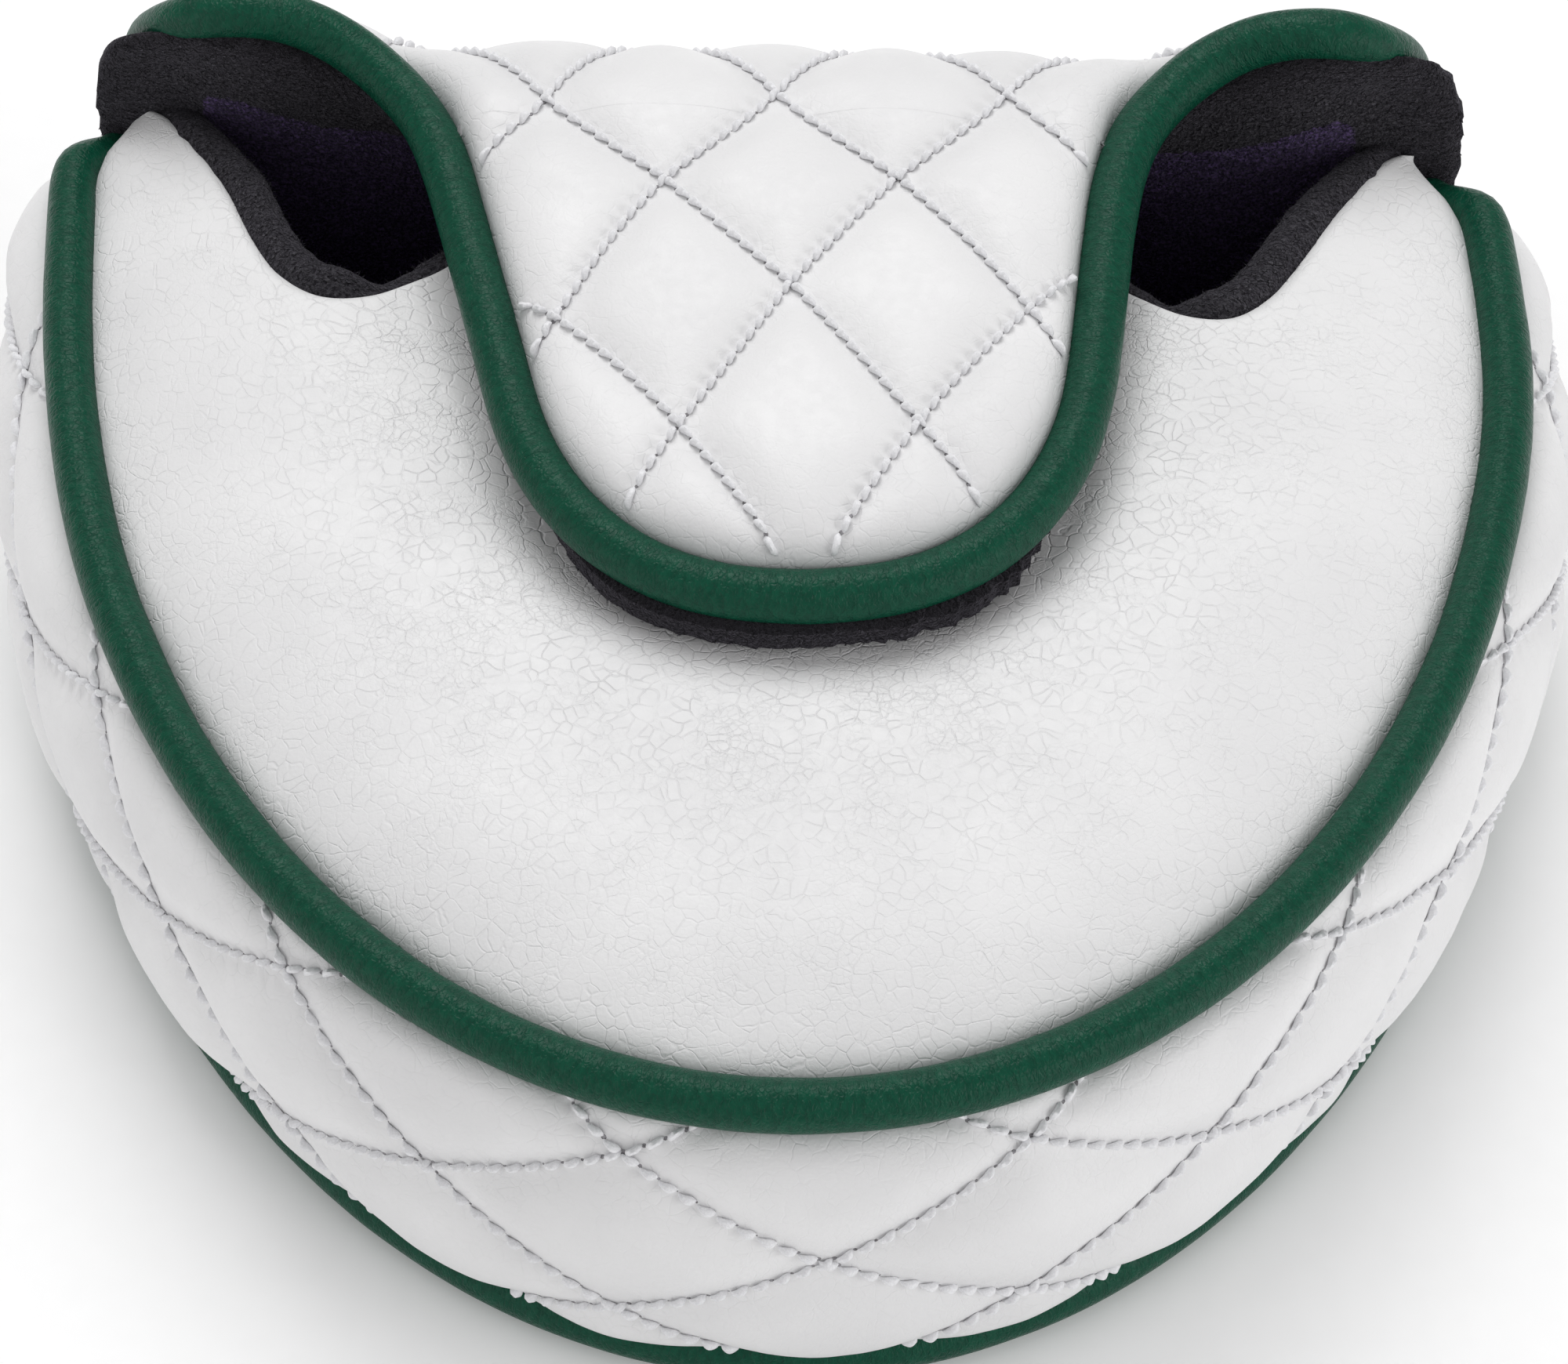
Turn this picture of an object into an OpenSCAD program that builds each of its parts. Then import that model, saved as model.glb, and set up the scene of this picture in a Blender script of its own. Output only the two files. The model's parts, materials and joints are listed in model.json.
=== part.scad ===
// Padded leather head cover for a mallet putter.
// It lies on its bottom panel: +X is to the right, +Y is to the mouth, +Z is up.
// The origin is on the resting plane, under the middle of the cover's box.

/* [Pocket] */
// Half the width of the top seam at its widest
seam_half_w = 61.2; // [59:0.2:63]
// Length of the rounded front of the seam, from its widest place to its tip
front_len = 85.5; // [82:0.5:88]
// Height of the top piping's centre
seam_z = 33.5; // [32.5:0.1:34]
// How far the side wall swells beyond its seams
wall_bulge = 4.4; // [3:0.2:5]
// How far the bottom seam lies outside the top seam
bottom_flare = 1.5; // [1:0.1:2]
// Height that the top panel rises above its seam
crown = 7.6; // [6:0.1:7.6]
// Distance over which the top panel rises
crown_reach = 10; // [8:0.5:12]

/* [Layers] */
// Thickness of the leather
t_skin = 1.2; // [1:0.1:1.4]
// Thickness of the foam
t_foam = 2.8; // [2.6:0.1:2.8]
// Thickness of the fleece lining
t_lining = 2; // [1.6:0.1:2]

/* [Piping] */
// Diameter of the leather piping
piping_d = 4.4; // [4:0.1:4.4]
// Diameter of the cord inside the piping
cord_d = 2.4; // [2:0.1:2.6]
// Diameter of the rolled fleece along the mouth
roll_d = 2.4; // [2:0.1:2.6]

/* [Flap] */
// Radius of the fold over the mouth, on the outside
fold_r = 16; // [15.5:0.1:16.5]
// Half the width of the flap's wall
wall_half_w = 59.4; // [58:0.2:60]
// Height of the shoulders' highest place above the wall's foot, along the leather
shoulder_s = 42.4; // [41:0.2:43]
// Half the width of the tongue where it leaves the fold
tongue_half_w = 28.7; // [28:0.1:29.4]
// Half the width of the tongue where its round tip begins
tip_half_w = 24.4; // [23:0.2:25]
// Length of the tongue's round tip
tip_len = 24; // [23:0.5:25]
// Length of the tongue from the hinge line to its piping's tip
tongue_len = 49.4; // [48:0.2:51]

/* [Magnets] */
// Diameter of a magnet
magnet_d = 12; // [8:0.5:12]
// Thickness of a magnet
magnet_t = 2; // [1.5:0.1:2]
// Distance between the two magnets of a pair
magnet_gap = 18; // [16:1:22]

/* [Hidden] */

white = "#f1f0f3";
green = "#0f4f35";
fleece = "#2b2a30";
foam = "#d8d4c4";
steel = "#9a9ca0";
cotton = "#e8e2d0";

piping_r = piping_d / 2;
cord_r = cord_d / 2;
roll_r = roll_d / 2;
// Room left between pieces of one body
snug = 0.05;
// Room left between the flap's layers and its piping
edge_gap = 0.35;
// Room left between bodies that move apart
free_gap = 0.3;

// Depths of the faces of the three layers, from the outside in
d_skin = t_skin;
d_foam = t_skin + t_foam;
d_all = t_skin + t_foam + t_lining;

// The widest place of the seam, and where the cover's straight sides end
widest_y = 34.14;
straight_len = 16.2;
side_end_y = widest_y + straight_len;
// Share of the seam's parameter that the rounded front takes
front_share = 0.88;
// Rear sides draw in by this share of the squared distance
side_taper = 0.0025;
// The side wall's leather ends this far before the sides' end, to leave room for its fleece edge
edge_room = roll_d;

// The bottom edge of the mouth, where the bottom panel bends up into the flap
flap_back = 22.3;
flap_y = widest_y + flap_back;
bend_r = 7;
bend_y = flap_y - bend_r;
// Angle from the bend's foot to the riser's hinge line, which lies on the outside of the bend
bend_split = 45;
// The tongue's hinge line lies on the outside of the fold, at its highest place
fold_y = flap_y - fold_r;
fold_z = 32.8;
// The fold begins higher up at the shoulders
shoulder_lift = 10.5;
lift_from = 29;
lift_to = 43;
mid_depth = d_all / 2;
// Length along the flap's middle layer from the bend's top to the tongue's hinge line
fold_start_s = fold_z - bend_r;
hinge_s = fold_start_s + (fold_r - mid_depth) * 90 * PI / 180;
// The tongue slopes down to its tip
tongue_slope = 2;

// Numbers of steps along the surfaces
wall_steps = 32;
wall_rows = 5;
panel_steps = 32;
panel_rows = 5;
riser_rows = 14;
riser_columns = 10;
ring_steps = 40;
tube_sides = 8;
disc_sides = 48;
// How far a cutting body reaches beyond what it cuts
over = 1;

// ---------- small helpers ----------

function lerp(a, b, t) = a + (b - a) * t;
function smooth(a, b, x) = let (t = min(max((x - a) / (b - a), 0), 1)) t * t * (3 - 2 * t);
function unit(v) = v / norm(v);
// Perpendicular to a flat vector, turned to its right
function right_of(v) = [v[1], -v[0]];

// A point on a smooth curve through points p, where t runs from 0 to 1
function spline(p, t) =
  let (
    n = len(p) - 1,
    f = min(max(t, 0), 1) * n,
    i = min(floor(f), n - 1),
    a = p[max(i - 1, 0)],
    b = p[i],
    c = p[i + 1],
    d = p[min(i + 2, n)],
    s = f - i
  )
  0.5 * (2 * b + (c - a) * s + (2 * a - 5 * b + 4 * c - d) * s * s + (3 * b - a - 3 * c + d) * s * s * s);

// Direction of a polyline at point i
function heading(p, i) = unit(p[min(i + 1, len(p) - 1)] - p[max(i - 1, 0)]);
// A flat polyline moved to its right by a distance
function inset(p, by) = [for (i = [0:len(p) - 1]) p[i] + right_of(heading(p, i)) * by];

// A closed solid between two grids of points with the same rows and columns
module slab(outer, inner) {
  rows = len(outer);
  cols = len(outer[0]);
  count = rows * cols;
  points = [for (g = [outer, inner]) for (row = g) for (p = row) p];
  faces = concat(
    [for (r = [0:rows - 2]) for (c = [0:cols - 2]) let (a = r * cols + c)
      [a, a + 1, a + cols + 1, a + cols]],
    [for (r = [0:rows - 2]) for (c = [0:cols - 2]) let (a = count + r * cols + c)
      [a, a + cols, a + cols + 1, a + 1]],
    [for (c = [0:cols - 2]) [c + 1, c, count + c, count + c + 1]],
    [for (c = [0:cols - 2]) let (a = (rows - 1) * cols + c) [a, a + 1, count + a + 1, count + a]],
    [for (r = [0:rows - 2]) let (a = r * cols) [a, a + cols, count + a + cols, count + a]],
    [for (r = [0:rows - 2]) let (a = r * cols + cols - 1) [a + cols, a, count + a, count + a + cols]]
  );
  triangles = [for (f = faces) each [[f[0], f[1], f[2]], [f[0], f[2], f[3]]]];
  polyhedron(points, triangles, convexity = 8);
}

// The ring of points round point i of a path
function ring(path, i, r) =
  let (
    t = heading(path, i),
    side = unit(cross(t, abs(t[2]) < 0.9 ? [0, 0, 1] : [0, 1, 0])),
    up = cross(side, t)
  )
  [for (k = [0:tube_sides - 1]) let (a = 360 * (k + 0.5) / tube_sides)
    path[i] + r * (side * cos(a) + up * sin(a))];

// A tube, hollow if bore is above zero, along a path of points
module tube(path, r, bore = 0) {
  n = len(path);
  k = tube_sides;
  shell = [for (i = [0:n - 1]) each ring(path, i, r)];
  core = bore > 0 ? [for (i = [0:n - 1]) each ring(path, i, bore)] : [];
  inside = n * k;
  sides = [for (i = [0:n - 2]) for (j = [0:k - 1]) let (a = i * k + j, b = i * k + (j + 1) % k)
    each [[a, b, b + k], [a, b + k, a + k]]];
  last = (n - 1) * k;
  solid_ends = [
    for (j = [1:k - 2]) each [[0, j + 1, j], [last, last + j, last + j + 1]]
  ];
  bore_sides = [for (f = sides) [f[2] + inside, f[1] + inside, f[0] + inside]];
  bore_ends = [for (j = [0:k - 1]) let (b = (j + 1) % k) each [
    [j, inside + j, inside + b], [j, inside + b, b],
    [last + j, last + b, last + inside + b], [last + j, last + inside + b, last + inside + j]
  ]];
  polyhedron(
    concat(shell, core),
    bore > 0 ? concat(sides, bore_sides, bore_ends) : concat(sides, solid_ends),
    convexity = 8
  );
}

// ---------- the seams' plan ----------

// A seam in plan: u runs from -1 at the left end, round the front at 0, to 1 at the right end
function seam_angle(u) = 90 * min(max(u / front_share, -1), 1);
function seam_rear(u) = max(abs(u) - front_share, 0) / (1 - front_share) * (side_end_y - widest_y);
function seam_normal(u) = let (a = seam_angle(u)) unit([sin(a) / seam_half_w, -cos(a) / front_len]);
function seam_at(u, out) =
  let (a = seam_angle(u), back = seam_rear(u))
  [seam_half_w * sin(a) - sign(u) * side_taper * back * back, widest_y - front_len * cos(a) + back]
  + out * seam_normal(u);
// The parameter at which the seam's side reaches a given y
function seam_end(y) = front_share + (1 - front_share) * (y - widest_y) / (side_end_y - widest_y);

function seam_path(out, z, end, steps) =
  [for (i = [0:steps]) let (p = seam_at(lerp(-end, end, i / steps), out)) [p[0], p[1], z]];

// ---------- side wall ----------

wall_foot = piping_d + 2 * snug;
wall_end = seam_end(side_end_y - edge_room);
// Share of their depth by which the wall's inner layers end lower
wall_slant = 0.6;
// A point of the side wall: u along it, v from foot to top, d into it
function wall_top(d) = seam_z - piping_r - 2 * snug - wall_slant * d;
function wall_at(u, v, d) =
  let (p = seam_at(u, bottom_flare * (1 - v) + wall_bulge * sin(180 * v) - d))
  [p[0], p[1], lerp(wall_foot, wall_top(d), v)];
function wall_face(d) =
  [for (r = [0:wall_rows]) [for (i = [0:wall_steps])
    wall_at(lerp(-wall_end, wall_end, i / wall_steps), r / wall_rows, d)]];

module wall_layer(outside, inside) slab(wall_face(inside), wall_face(outside));

module wall_roll(side) {
  rows = 8;
  foot = 0.02;
  top = 0.9;
  path = [for (r = [0:rows]) wall_at(side * wall_end, lerp(foot, top, r / rows), mid_depth)
    + [0, roll_r + snug, 0]];
  tube(path, roll_r);
}

// ---------- bottom panel ----------

bottom_steps = 60;
// Half the width of the bend's skin and foam, and of its lining
bend_half_w = 57;
bend_lining_half_w = 52;

module bottom_sheet(z, t, out) {
  end = seam_end(bend_y);
  translate([0, 0, z])
    linear_extrude(t)
      polygon([for (i = [0:bottom_steps]) seam_at(lerp(-end, end, i / bottom_steps), out)]);
}

// The layer's share of the bend up to the riser's hinge, a sector round the bend's axis
module bottom_bend(z, t, half) {
  r_out = bend_r - z;
  r_in = r_out - t;
  arc_steps = 8;
  arc = [for (i = [0:arc_steps]) bend_split * i / arc_steps];
  translate([-half, bend_y, bend_r])
    rotate([90, 0, 90])
      linear_extrude(2 * half)
        polygon(concat(
          [for (a = arc) r_out * [sin(a), -cos(a)]],
          [for (i = [arc_steps:-1:0]) r_in * [sin(arc[i]), -cos(arc[i])]]
        ));
}

module bottom_layer(z, t, out, half) {
  bottom_sheet(z, t, out);
  bottom_bend(z, t, half);
}

// ---------- top panel ----------

// The mouth edge of the top panel, from the tip of a horn, down its notch and to the middle,
// measured from the widest place
mouth_points = [
  [54.2, 16.0], [50.2, 10.6], [46.2, 4.8], [42.6, -0.8], [39.6, -5.4], [36.6, -7.8],
  [33.0, -7.2], [29.4, -4.2], [25.6, -0.4], [20.6, 2.9], [14.4, 4.9], [7.2, 5.8], [0, 6.0]
];
mouth_spacing = 0.76;
function mouth_at(u) =
  let (p = spline(mouth_points, pow(1 - abs(u), mouth_spacing)))
  [u < 0 ? -p[0] : p[0], widest_y + p[1]];
// Share of its depth by which a layer of the panel starts further from the seam
panel_slant = 0.45;
// How far the panel's edge lies below the piping's centre
panel_drop = 0.4;
// How far the panel's edge stays inside the seam, at depth d
function panel_inset(d) = piping_r + 2 * snug + panel_slant * d;
// Height of the panel's face at a distance from the seam
function panel_z(dist) = seam_z - panel_drop + crown * (1 - exp(-dist / crown_reach));
function panel_at(u, w, d) =
  let (
    from = seam_at(u, -panel_inset(d)),
    p = lerp(from, mouth_at(u), w)
  )
  [p[0], p[1], panel_z(norm(p - from) + panel_inset(d) - panel_inset(0)) - d];
// The panel's rows lie closer together near its seam, where it is steepest
panel_spacing = 1.5;
function panel_face(d) =
  [for (r = [0:panel_rows]) [for (i = [0:panel_steps])
    panel_at(lerp(-1, 1, i / panel_steps), pow(r / panel_rows, panel_spacing), d)]];

module panel_layer(outside, inside) slab(panel_face(inside), panel_face(outside));

// The fleece roll lies behind the panel's mouth edge, in the middle of its thickness
roll_end = 0.97;
function roll_path() =
  let (
    steps = 44,
    edge = [for (i = [0:steps]) mouth_at(lerp(-roll_end, roll_end, i / steps))],
    out = inset(edge, -roll_r - snug)
  )
  [for (i = [0:steps]) let (u = lerp(-roll_end, roll_end, i / steps))
    [out[i][0], out[i][1], panel_at(u, 1, mid_depth)[2]]];

// ---------- flap ----------

// The flap's edge, right side, laid flat: x across, s along the middle layer from the bend
shoulder_points = [
  [wall_half_w, 0.6], [wall_half_w, 10], [wall_half_w - 0.1, 20], [wall_half_w - 0.8, 28],
  [wall_half_w - 3.4, 35], [wall_half_w - 7.6, shoulder_s - 1.8], [47.2, shoulder_s],
  [42, shoulder_s - 0.8], [37.4, shoulder_s - 2.4], [33.4, shoulder_s - 1.8],
  [30.8, shoulder_s + 0.6], [tongue_half_w + 0.4, hinge_s - 1.6], [tongue_half_w, hinge_s]
];
riser_edge = [for (i = [0:riser_rows]) spline(shoulder_points, i / riser_rows)];

// Where the fold begins, at a distance x from the middle
function fold_at(x) = fold_z + shoulder_lift * smooth(lift_from, lift_to, abs(x));
// A point of the riser: x across, s along the middle layer, d into it
function riser_at(x, s, d) =
  let (
    start = fold_at(x) - bend_r,
    a = max(s - start, 0) / (fold_r - mid_depth) * 180 / PI,
    r = fold_r - d
  )
  [x, fold_y + r * cos(a), bend_r + min(s, start) + r * sin(a)];
// A point of the foot's bend, at an angle below the level of its axis
function foot_at(x, a, d) = [x, bend_y + (bend_r - d) * cos(a), bend_r - (bend_r - d) * sin(a)];

foot_steps = 3;
foot_angle = bend_split - free_gap / bend_r * 180 / PI;
function riser_row(edge, share, d) =
  let (middle = hinge_s * share)
  [for (c = [0:riser_columns]) let (
      q = 2 * c / riser_columns - 1,
      s = lerp(middle, edge[1], q * q)
    ) riser_at(q * edge[0], s, d)];
function riser_face(d) =
  let (edge = inset(riser_edge, -piping_r - edge_gap), half = edge[0][0])
  concat(
    [for (k = [0:foot_steps - 1]) [for (c = [0:riser_columns])
      foot_at(half * (2 * c / riser_columns - 1), foot_angle * (1 - k / foot_steps), d)]],
    [for (i = [0:riser_rows]) let (share = i / riser_rows)
      riser_row([edge[i][0], i == 0 ? 0 : i == riser_rows ? hinge_s : edge[i][1]], share, d)]
  );

module riser_layer(outside, inside) slab(riser_face(outside), riser_face(inside));

riser_tube_steps = 22;
// The riser's piping stops just before the tongue's
riser_tube_end = 0.985;
function riser_tube(side) =
  [for (i = [0:riser_tube_steps])
    let (
      q = spline(shoulder_points, riser_tube_end * i / riser_tube_steps),
      p = riser_at(q[0], q[1], mid_depth)
    ) [side * p[0], p[1], p[2]]];

// The tongue lies in a plane that slopes down from the hinge line.
// Its flat frame: x across, y along the tongue to its tip, z up from its outer face.
module on_tongue() {
  translate([0, fold_y, fold_z + fold_r])
    rotate([tongue_slope, 0, 0])
      children();
}

taper_len = tongue_len - tip_len;
tip_steps = 16;
function tongue_edge(by) =
  let (half = tip_half_w - by, tip = tip_len - by)
  concat(
    [[-tongue_half_w + by, 0]],
    [for (i = [0:tip_steps]) let (a = -90 + 180 * i / tip_steps)
      [half * sin(a), -taper_len - tip * cos(a)]],
    [[tongue_half_w - by, 0]]
  );

module tongue_layer(outside, inside) {
  on_tongue()
    translate([0, -free_gap, -inside])
      linear_extrude(inside - outside)
        polygon(tongue_edge(piping_r + edge_gap));
}

// The tongue's piping: its straight sides are divided in thirds, and start just past the riser's
function tongue_tube() =
  let (edge = tongue_edge(0), last = len(edge) - 1, cut = 0.01, thirds = [cut, 1 / 3, 2 / 3])
  concat(
    [for (t = thirds) let (p = lerp(edge[0], edge[1], t)) [p[0], p[1], 0]],
    [for (i = [1:last - 1]) [edge[i][0], edge[i][1], 0]],
    [for (k = [2:-1:0]) let (p = lerp(edge[last], edge[last - 1], thirds[k])) [p[0], p[1], 0]]
  );

// ---------- magnets ----------

cup_wall = 0.4;
cup_r = magnet_d / 2 + cup_wall;
cup_t = magnet_t + cup_wall;
// Distance of the magnets from the hinge line, along the tongue
magnet_along = 34;
magnet_y = fold_y - magnet_along;
// The panel's magnets lie in its foam, level, just above the lining, far from the seam
far_from_seam = 4 * crown_reach;
panel_magnet_z = panel_z(far_from_seam) - d_foam + 3 * snug;

module pair() {
  for (side = [-1, 1])
    translate([side * magnet_gap / 2, 0, 0])
      children();
}

module disc(r, t) cylinder(r = r, h = t, $fn = disc_sides);

module cup() {
  difference() {
    disc(cup_r, cup_t);
    translate([0, 0, -over])
      disc(magnet_d / 2, magnet_t + over);
  }
}

module at_panel_magnets() {
  translate([0, magnet_y, panel_magnet_z])
    pair()
      children();
}

module at_tongue_magnets() {
  on_tongue()
    translate([0, -magnet_along, -d_foam])
      pair()
        children();
}

// ---------- the pieces ----------

module bottom_skin() color(white)
  bottom_layer(0, t_skin, bottom_flare - piping_r - snug, bend_half_w);
module bottom_foam() color(foam)
  bottom_layer(d_skin, t_foam, bottom_flare - piping_r - snug, bend_half_w);
module bottom_lining() color(fleece)
  bottom_layer(d_foam, t_lining, bottom_flare - d_all - 2 * snug, bend_lining_half_w);
module bottom_piping() color(green)
  tube(seam_path(bottom_flare, piping_r + snug, seam_end(bend_y), ring_steps), piping_r, cord_r);
module bottom_piping_cord() color(cotton)
  tube(seam_path(bottom_flare, piping_r + snug, seam_end(bend_y), ring_steps), cord_r);

module gusset_skin() color(white) wall_layer(0, d_skin);
module gusset_foam() color(foam) wall_layer(d_skin, d_foam);
module gusset_lining() color(fleece) wall_layer(d_foam, d_all);
module gusset_edge_roll_left() color(fleece) wall_roll(-1);
module gusset_edge_roll_right() color(fleece) wall_roll(1);

module top_piping() color(green) tube(seam_path(0, seam_z, 1, ring_steps), piping_r, cord_r);
module top_piping_cord() color(cotton) tube(seam_path(0, seam_z, 1, ring_steps), cord_r);
module top_skin() color(white) panel_layer(0, d_skin);
module top_foam() color(foam) {
  difference() {
    panel_layer(d_skin, d_foam);
    at_panel_magnets()
      translate([0, 0, -over])
        disc(cup_r, cup_t + over);
  }
}
module top_lining() color(fleece) panel_layer(d_foam, d_all);
module mouth_roll() color(fleece) tube(roll_path(), roll_r);
module panel_magnets() color(steel) at_panel_magnets() disc(magnet_d / 2, magnet_t);
module panel_magnet_cups() color(cotton) at_panel_magnets() cup();

module riser_skin() color(white) riser_layer(0, d_skin);
module riser_foam() color(foam) riser_layer(d_skin, d_foam);
module riser_lining() color(fleece) riser_layer(d_foam, d_all);
module riser_piping_left() color(green) tube(riser_tube(-1), piping_r, cord_r);
module riser_piping_right() color(green) tube(riser_tube(1), piping_r, cord_r);
module riser_cord_left() color(cotton) tube(riser_tube(-1), cord_r);
module riser_cord_right() color(cotton) tube(riser_tube(1), cord_r);

module tongue_skin() color(white) tongue_layer(0, d_skin);
module tongue_foam() color(foam) {
  difference() {
    tongue_layer(d_skin, d_foam);
    at_tongue_magnets()
      translate([0, 0, -over])
        disc(cup_r, cup_t + over);
  }
}
module tongue_lining() color(fleece) tongue_layer(d_foam, d_all);
module tongue_piping() color(green)
  on_tongue() translate([0, 0, -mid_depth]) tube(tongue_tube(), piping_r, cord_r);
module tongue_piping_cord() color(cotton)
  on_tongue() translate([0, 0, -mid_depth]) tube(tongue_tube(), cord_r);
module tongue_magnets() color(steel) at_tongue_magnets() disc(magnet_d / 2, magnet_t);
module tongue_magnet_cups() color(cotton) at_tongue_magnets() cup();

bottom_skin();
bottom_foam();
bottom_lining();
bottom_piping();
bottom_piping_cord();
gusset_skin();
gusset_foam();
gusset_lining();
gusset_edge_roll_left();
gusset_edge_roll_right();
top_piping();
top_piping_cord();
top_skin();
top_foam();
top_lining();
mouth_roll();
panel_magnets();
panel_magnet_cups();
riser_skin();
riser_foam();
riser_lining();
riser_piping_left();
riser_piping_right();
riser_cord_left();
riser_cord_right();
tongue_skin();
tongue_foam();
tongue_lining();
tongue_piping();
tongue_piping_cord();
tongue_magnets();
tongue_magnet_cups();
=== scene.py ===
"""Looks of a padded leather head cover for a mallet putter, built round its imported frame.

Sizes are in millimetres up to make_piece(), which turns them into metres.
The cover lies on its bottom panel: +X is to the right, +Y is to the mouth, +Z is up.
"""

import json
import math

import bmesh
import bpy
import numpy as np
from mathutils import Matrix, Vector, noise


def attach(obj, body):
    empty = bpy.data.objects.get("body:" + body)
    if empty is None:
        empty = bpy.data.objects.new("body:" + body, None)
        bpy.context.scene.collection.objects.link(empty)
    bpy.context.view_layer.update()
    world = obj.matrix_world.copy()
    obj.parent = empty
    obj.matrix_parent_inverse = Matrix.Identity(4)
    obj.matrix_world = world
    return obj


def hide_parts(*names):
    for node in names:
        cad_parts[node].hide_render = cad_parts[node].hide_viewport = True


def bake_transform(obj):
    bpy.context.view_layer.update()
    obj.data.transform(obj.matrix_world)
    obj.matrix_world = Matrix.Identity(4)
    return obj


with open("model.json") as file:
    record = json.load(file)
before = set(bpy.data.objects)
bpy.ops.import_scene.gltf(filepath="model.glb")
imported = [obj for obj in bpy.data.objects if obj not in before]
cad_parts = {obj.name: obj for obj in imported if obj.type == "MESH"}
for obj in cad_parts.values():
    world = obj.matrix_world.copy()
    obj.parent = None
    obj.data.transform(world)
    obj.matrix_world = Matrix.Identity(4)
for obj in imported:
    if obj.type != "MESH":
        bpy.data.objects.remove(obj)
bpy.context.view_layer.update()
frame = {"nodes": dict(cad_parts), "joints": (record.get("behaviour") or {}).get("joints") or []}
joints = {joint["name"]: joint for joint in frame["joints"]}

MM = 0.001

# ---------- driving sizes ----------

# The seam between the top panel and the side wall
SEAM_HALF_W = 61.2
FRONT_LEN = 85.5
SEAM_Z = 33.5
WIDEST_Y = 34.14
SIDE_END_Y = WIDEST_Y + 16.2
FRONT_SHARE = 0.88
SIDE_TAPER = 0.0025
CURL_FROM = 9
CURL = 0.045
# The side wall
WALL_BULGE = 4.4
BOTTOM_FLARE = 1.5
# The top panel
CROWN = 7.6
CROWN_REACH = 10
# Layers
T_SKIN = 1.2
D_FOAM = 4.0
D_ALL = 6.0
MID_DEPTH = D_ALL / 2
SNUG = 0.05
# Piping and fleece rolls
PIPING_R = 2.2
CORD_R = 1.2
# The flap's fold and foot
HINGE_Y = joints["tongue_hinge"]["pos_m"][1] / MM
FOLD_TOP = joints["tongue_hinge"]["pos_m"][2] / MM
FOLD_R = 16
FOLD_Z = FOLD_TOP - FOLD_R
BEND_R = 7
FLAP_Y = HINGE_Y + FOLD_R
BEND_Y = FLAP_Y - BEND_R
SHOULDER_LIFT = 10.5
LIFT_FROM = 29
LIFT_TO = 43
TURN_R = FOLD_R - MID_DEPTH
HINGE_S = FOLD_Z - BEND_R + TURN_R * math.pi / 2
FOOT_S = -(BEND_R - MID_DEPTH) * math.pi / 2
# The tongue
TONGUE_HALF_W = 28.6
TONGUE_FLARE = 0.6
TONGUE_FLARE_REACH = 3
TONGUE_TAPER = 0.17
TIP_FROM = 26
TIP_POWER = 2.5
TONGUE_LEN = 49.4
TONGUE_SLOPE = math.radians(2)
# Where leather is sewn against piping, its edge lies this far inside the piping's centre
TUCK_IN = 1.9

# Colours, linear
WHITE = (0.845, 0.842, 0.845)
WHITE_SHADE = (0.79, 0.787, 0.792)
WHITE_IN_CREASES = (0.62, 0.62, 0.66)
# Painted shade along the seams and the quilting's stitch lines
WHITE_SEAM_SHADE = (0.45, 0.45, 0.47)
GREEN = (0.003, 0.070, 0.038)
GREEN_SHADE = (0.002, 0.052, 0.029)
CHARCOAL = (0.055, 0.053, 0.059)
CHARCOAL_SHADE = (0.008, 0.007, 0.009)
VELOUR = (0.105, 0.066, 0.180)
VELOUR_SHADE = (0.020, 0.011, 0.042)
SHEEN = (0.55, 0.52, 0.62, 1)
FOAM = (0.70, 0.67, 0.58)
FOAM_SHADE = (0.48, 0.44, 0.34)
COTTON = (0.80, 0.76, 0.66)
COTTON_SHADE = (0.60, 0.56, 0.46)
THREAD = (0.88, 0.88, 0.90)
THREAD_SHADE = (0.78, 0.78, 0.80)
# The needle holes' dark lenses: painted shade
PAINTED_HOLE_SHADE = (0.34, 0.33, 0.35)
HOLE_SHADE = (0.16, 0.155, 0.16)
NICKEL = (0.66, 0.66, 0.68)
NICKEL_SHADE = (0.52, 0.52, 0.54)
PAPER = (0.965, 0.965, 0.965)
PAPER_SHADE = (0.95, 0.95, 0.95)


# ---------- small helpers ----------

def lerp(a, b, t):
    return a + (b - a) * t


def smooth(a, b, x):
    t = np.clip((x - a) / (b - a), 0, 1)
    return t * t * (3 - 2 * t)


def bell(x, middle, reach):
    return np.exp(-((x - middle) / reach) ** 2)


def unit(v):
    return v / np.maximum(np.linalg.norm(v, axis=-1, keepdims=True), 1e-9)


def spline(points, t):
    """Points on a smooth curve through points, where t runs from 0 to 1."""
    points = np.asarray(points, float)
    last = len(points) - 1
    f = np.clip(t, 0, 1) * last
    i = np.minimum(f.astype(int), last - 1)
    a = points[np.maximum(i - 1, 0)]
    b = points[i]
    c = points[i + 1]
    d = points[np.minimum(i + 2, last)]
    s = (f - i)[..., None]
    return 0.5 * (
        2 * b + (c - a) * s + (2 * a - 5 * b + 4 * c - d) * s**2 + (3 * b - a - 3 * c + d) * s**3
    )


def lumps(points, size, seed=0.0):
    """Smooth noise from -1 to 1 at points, with lumps of a given size."""
    shift = Vector((seed, 1.7 * seed, 2.3 * seed))
    flat = points.reshape(-1, 3) / size
    return np.array([noise.noise(Vector(p) + shift) for p in flat]).reshape(points.shape[:-1])


def line_lengths(path):
    return np.concatenate([[0], np.cumsum(np.linalg.norm(np.diff(path, axis=0), axis=1))])


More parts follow.
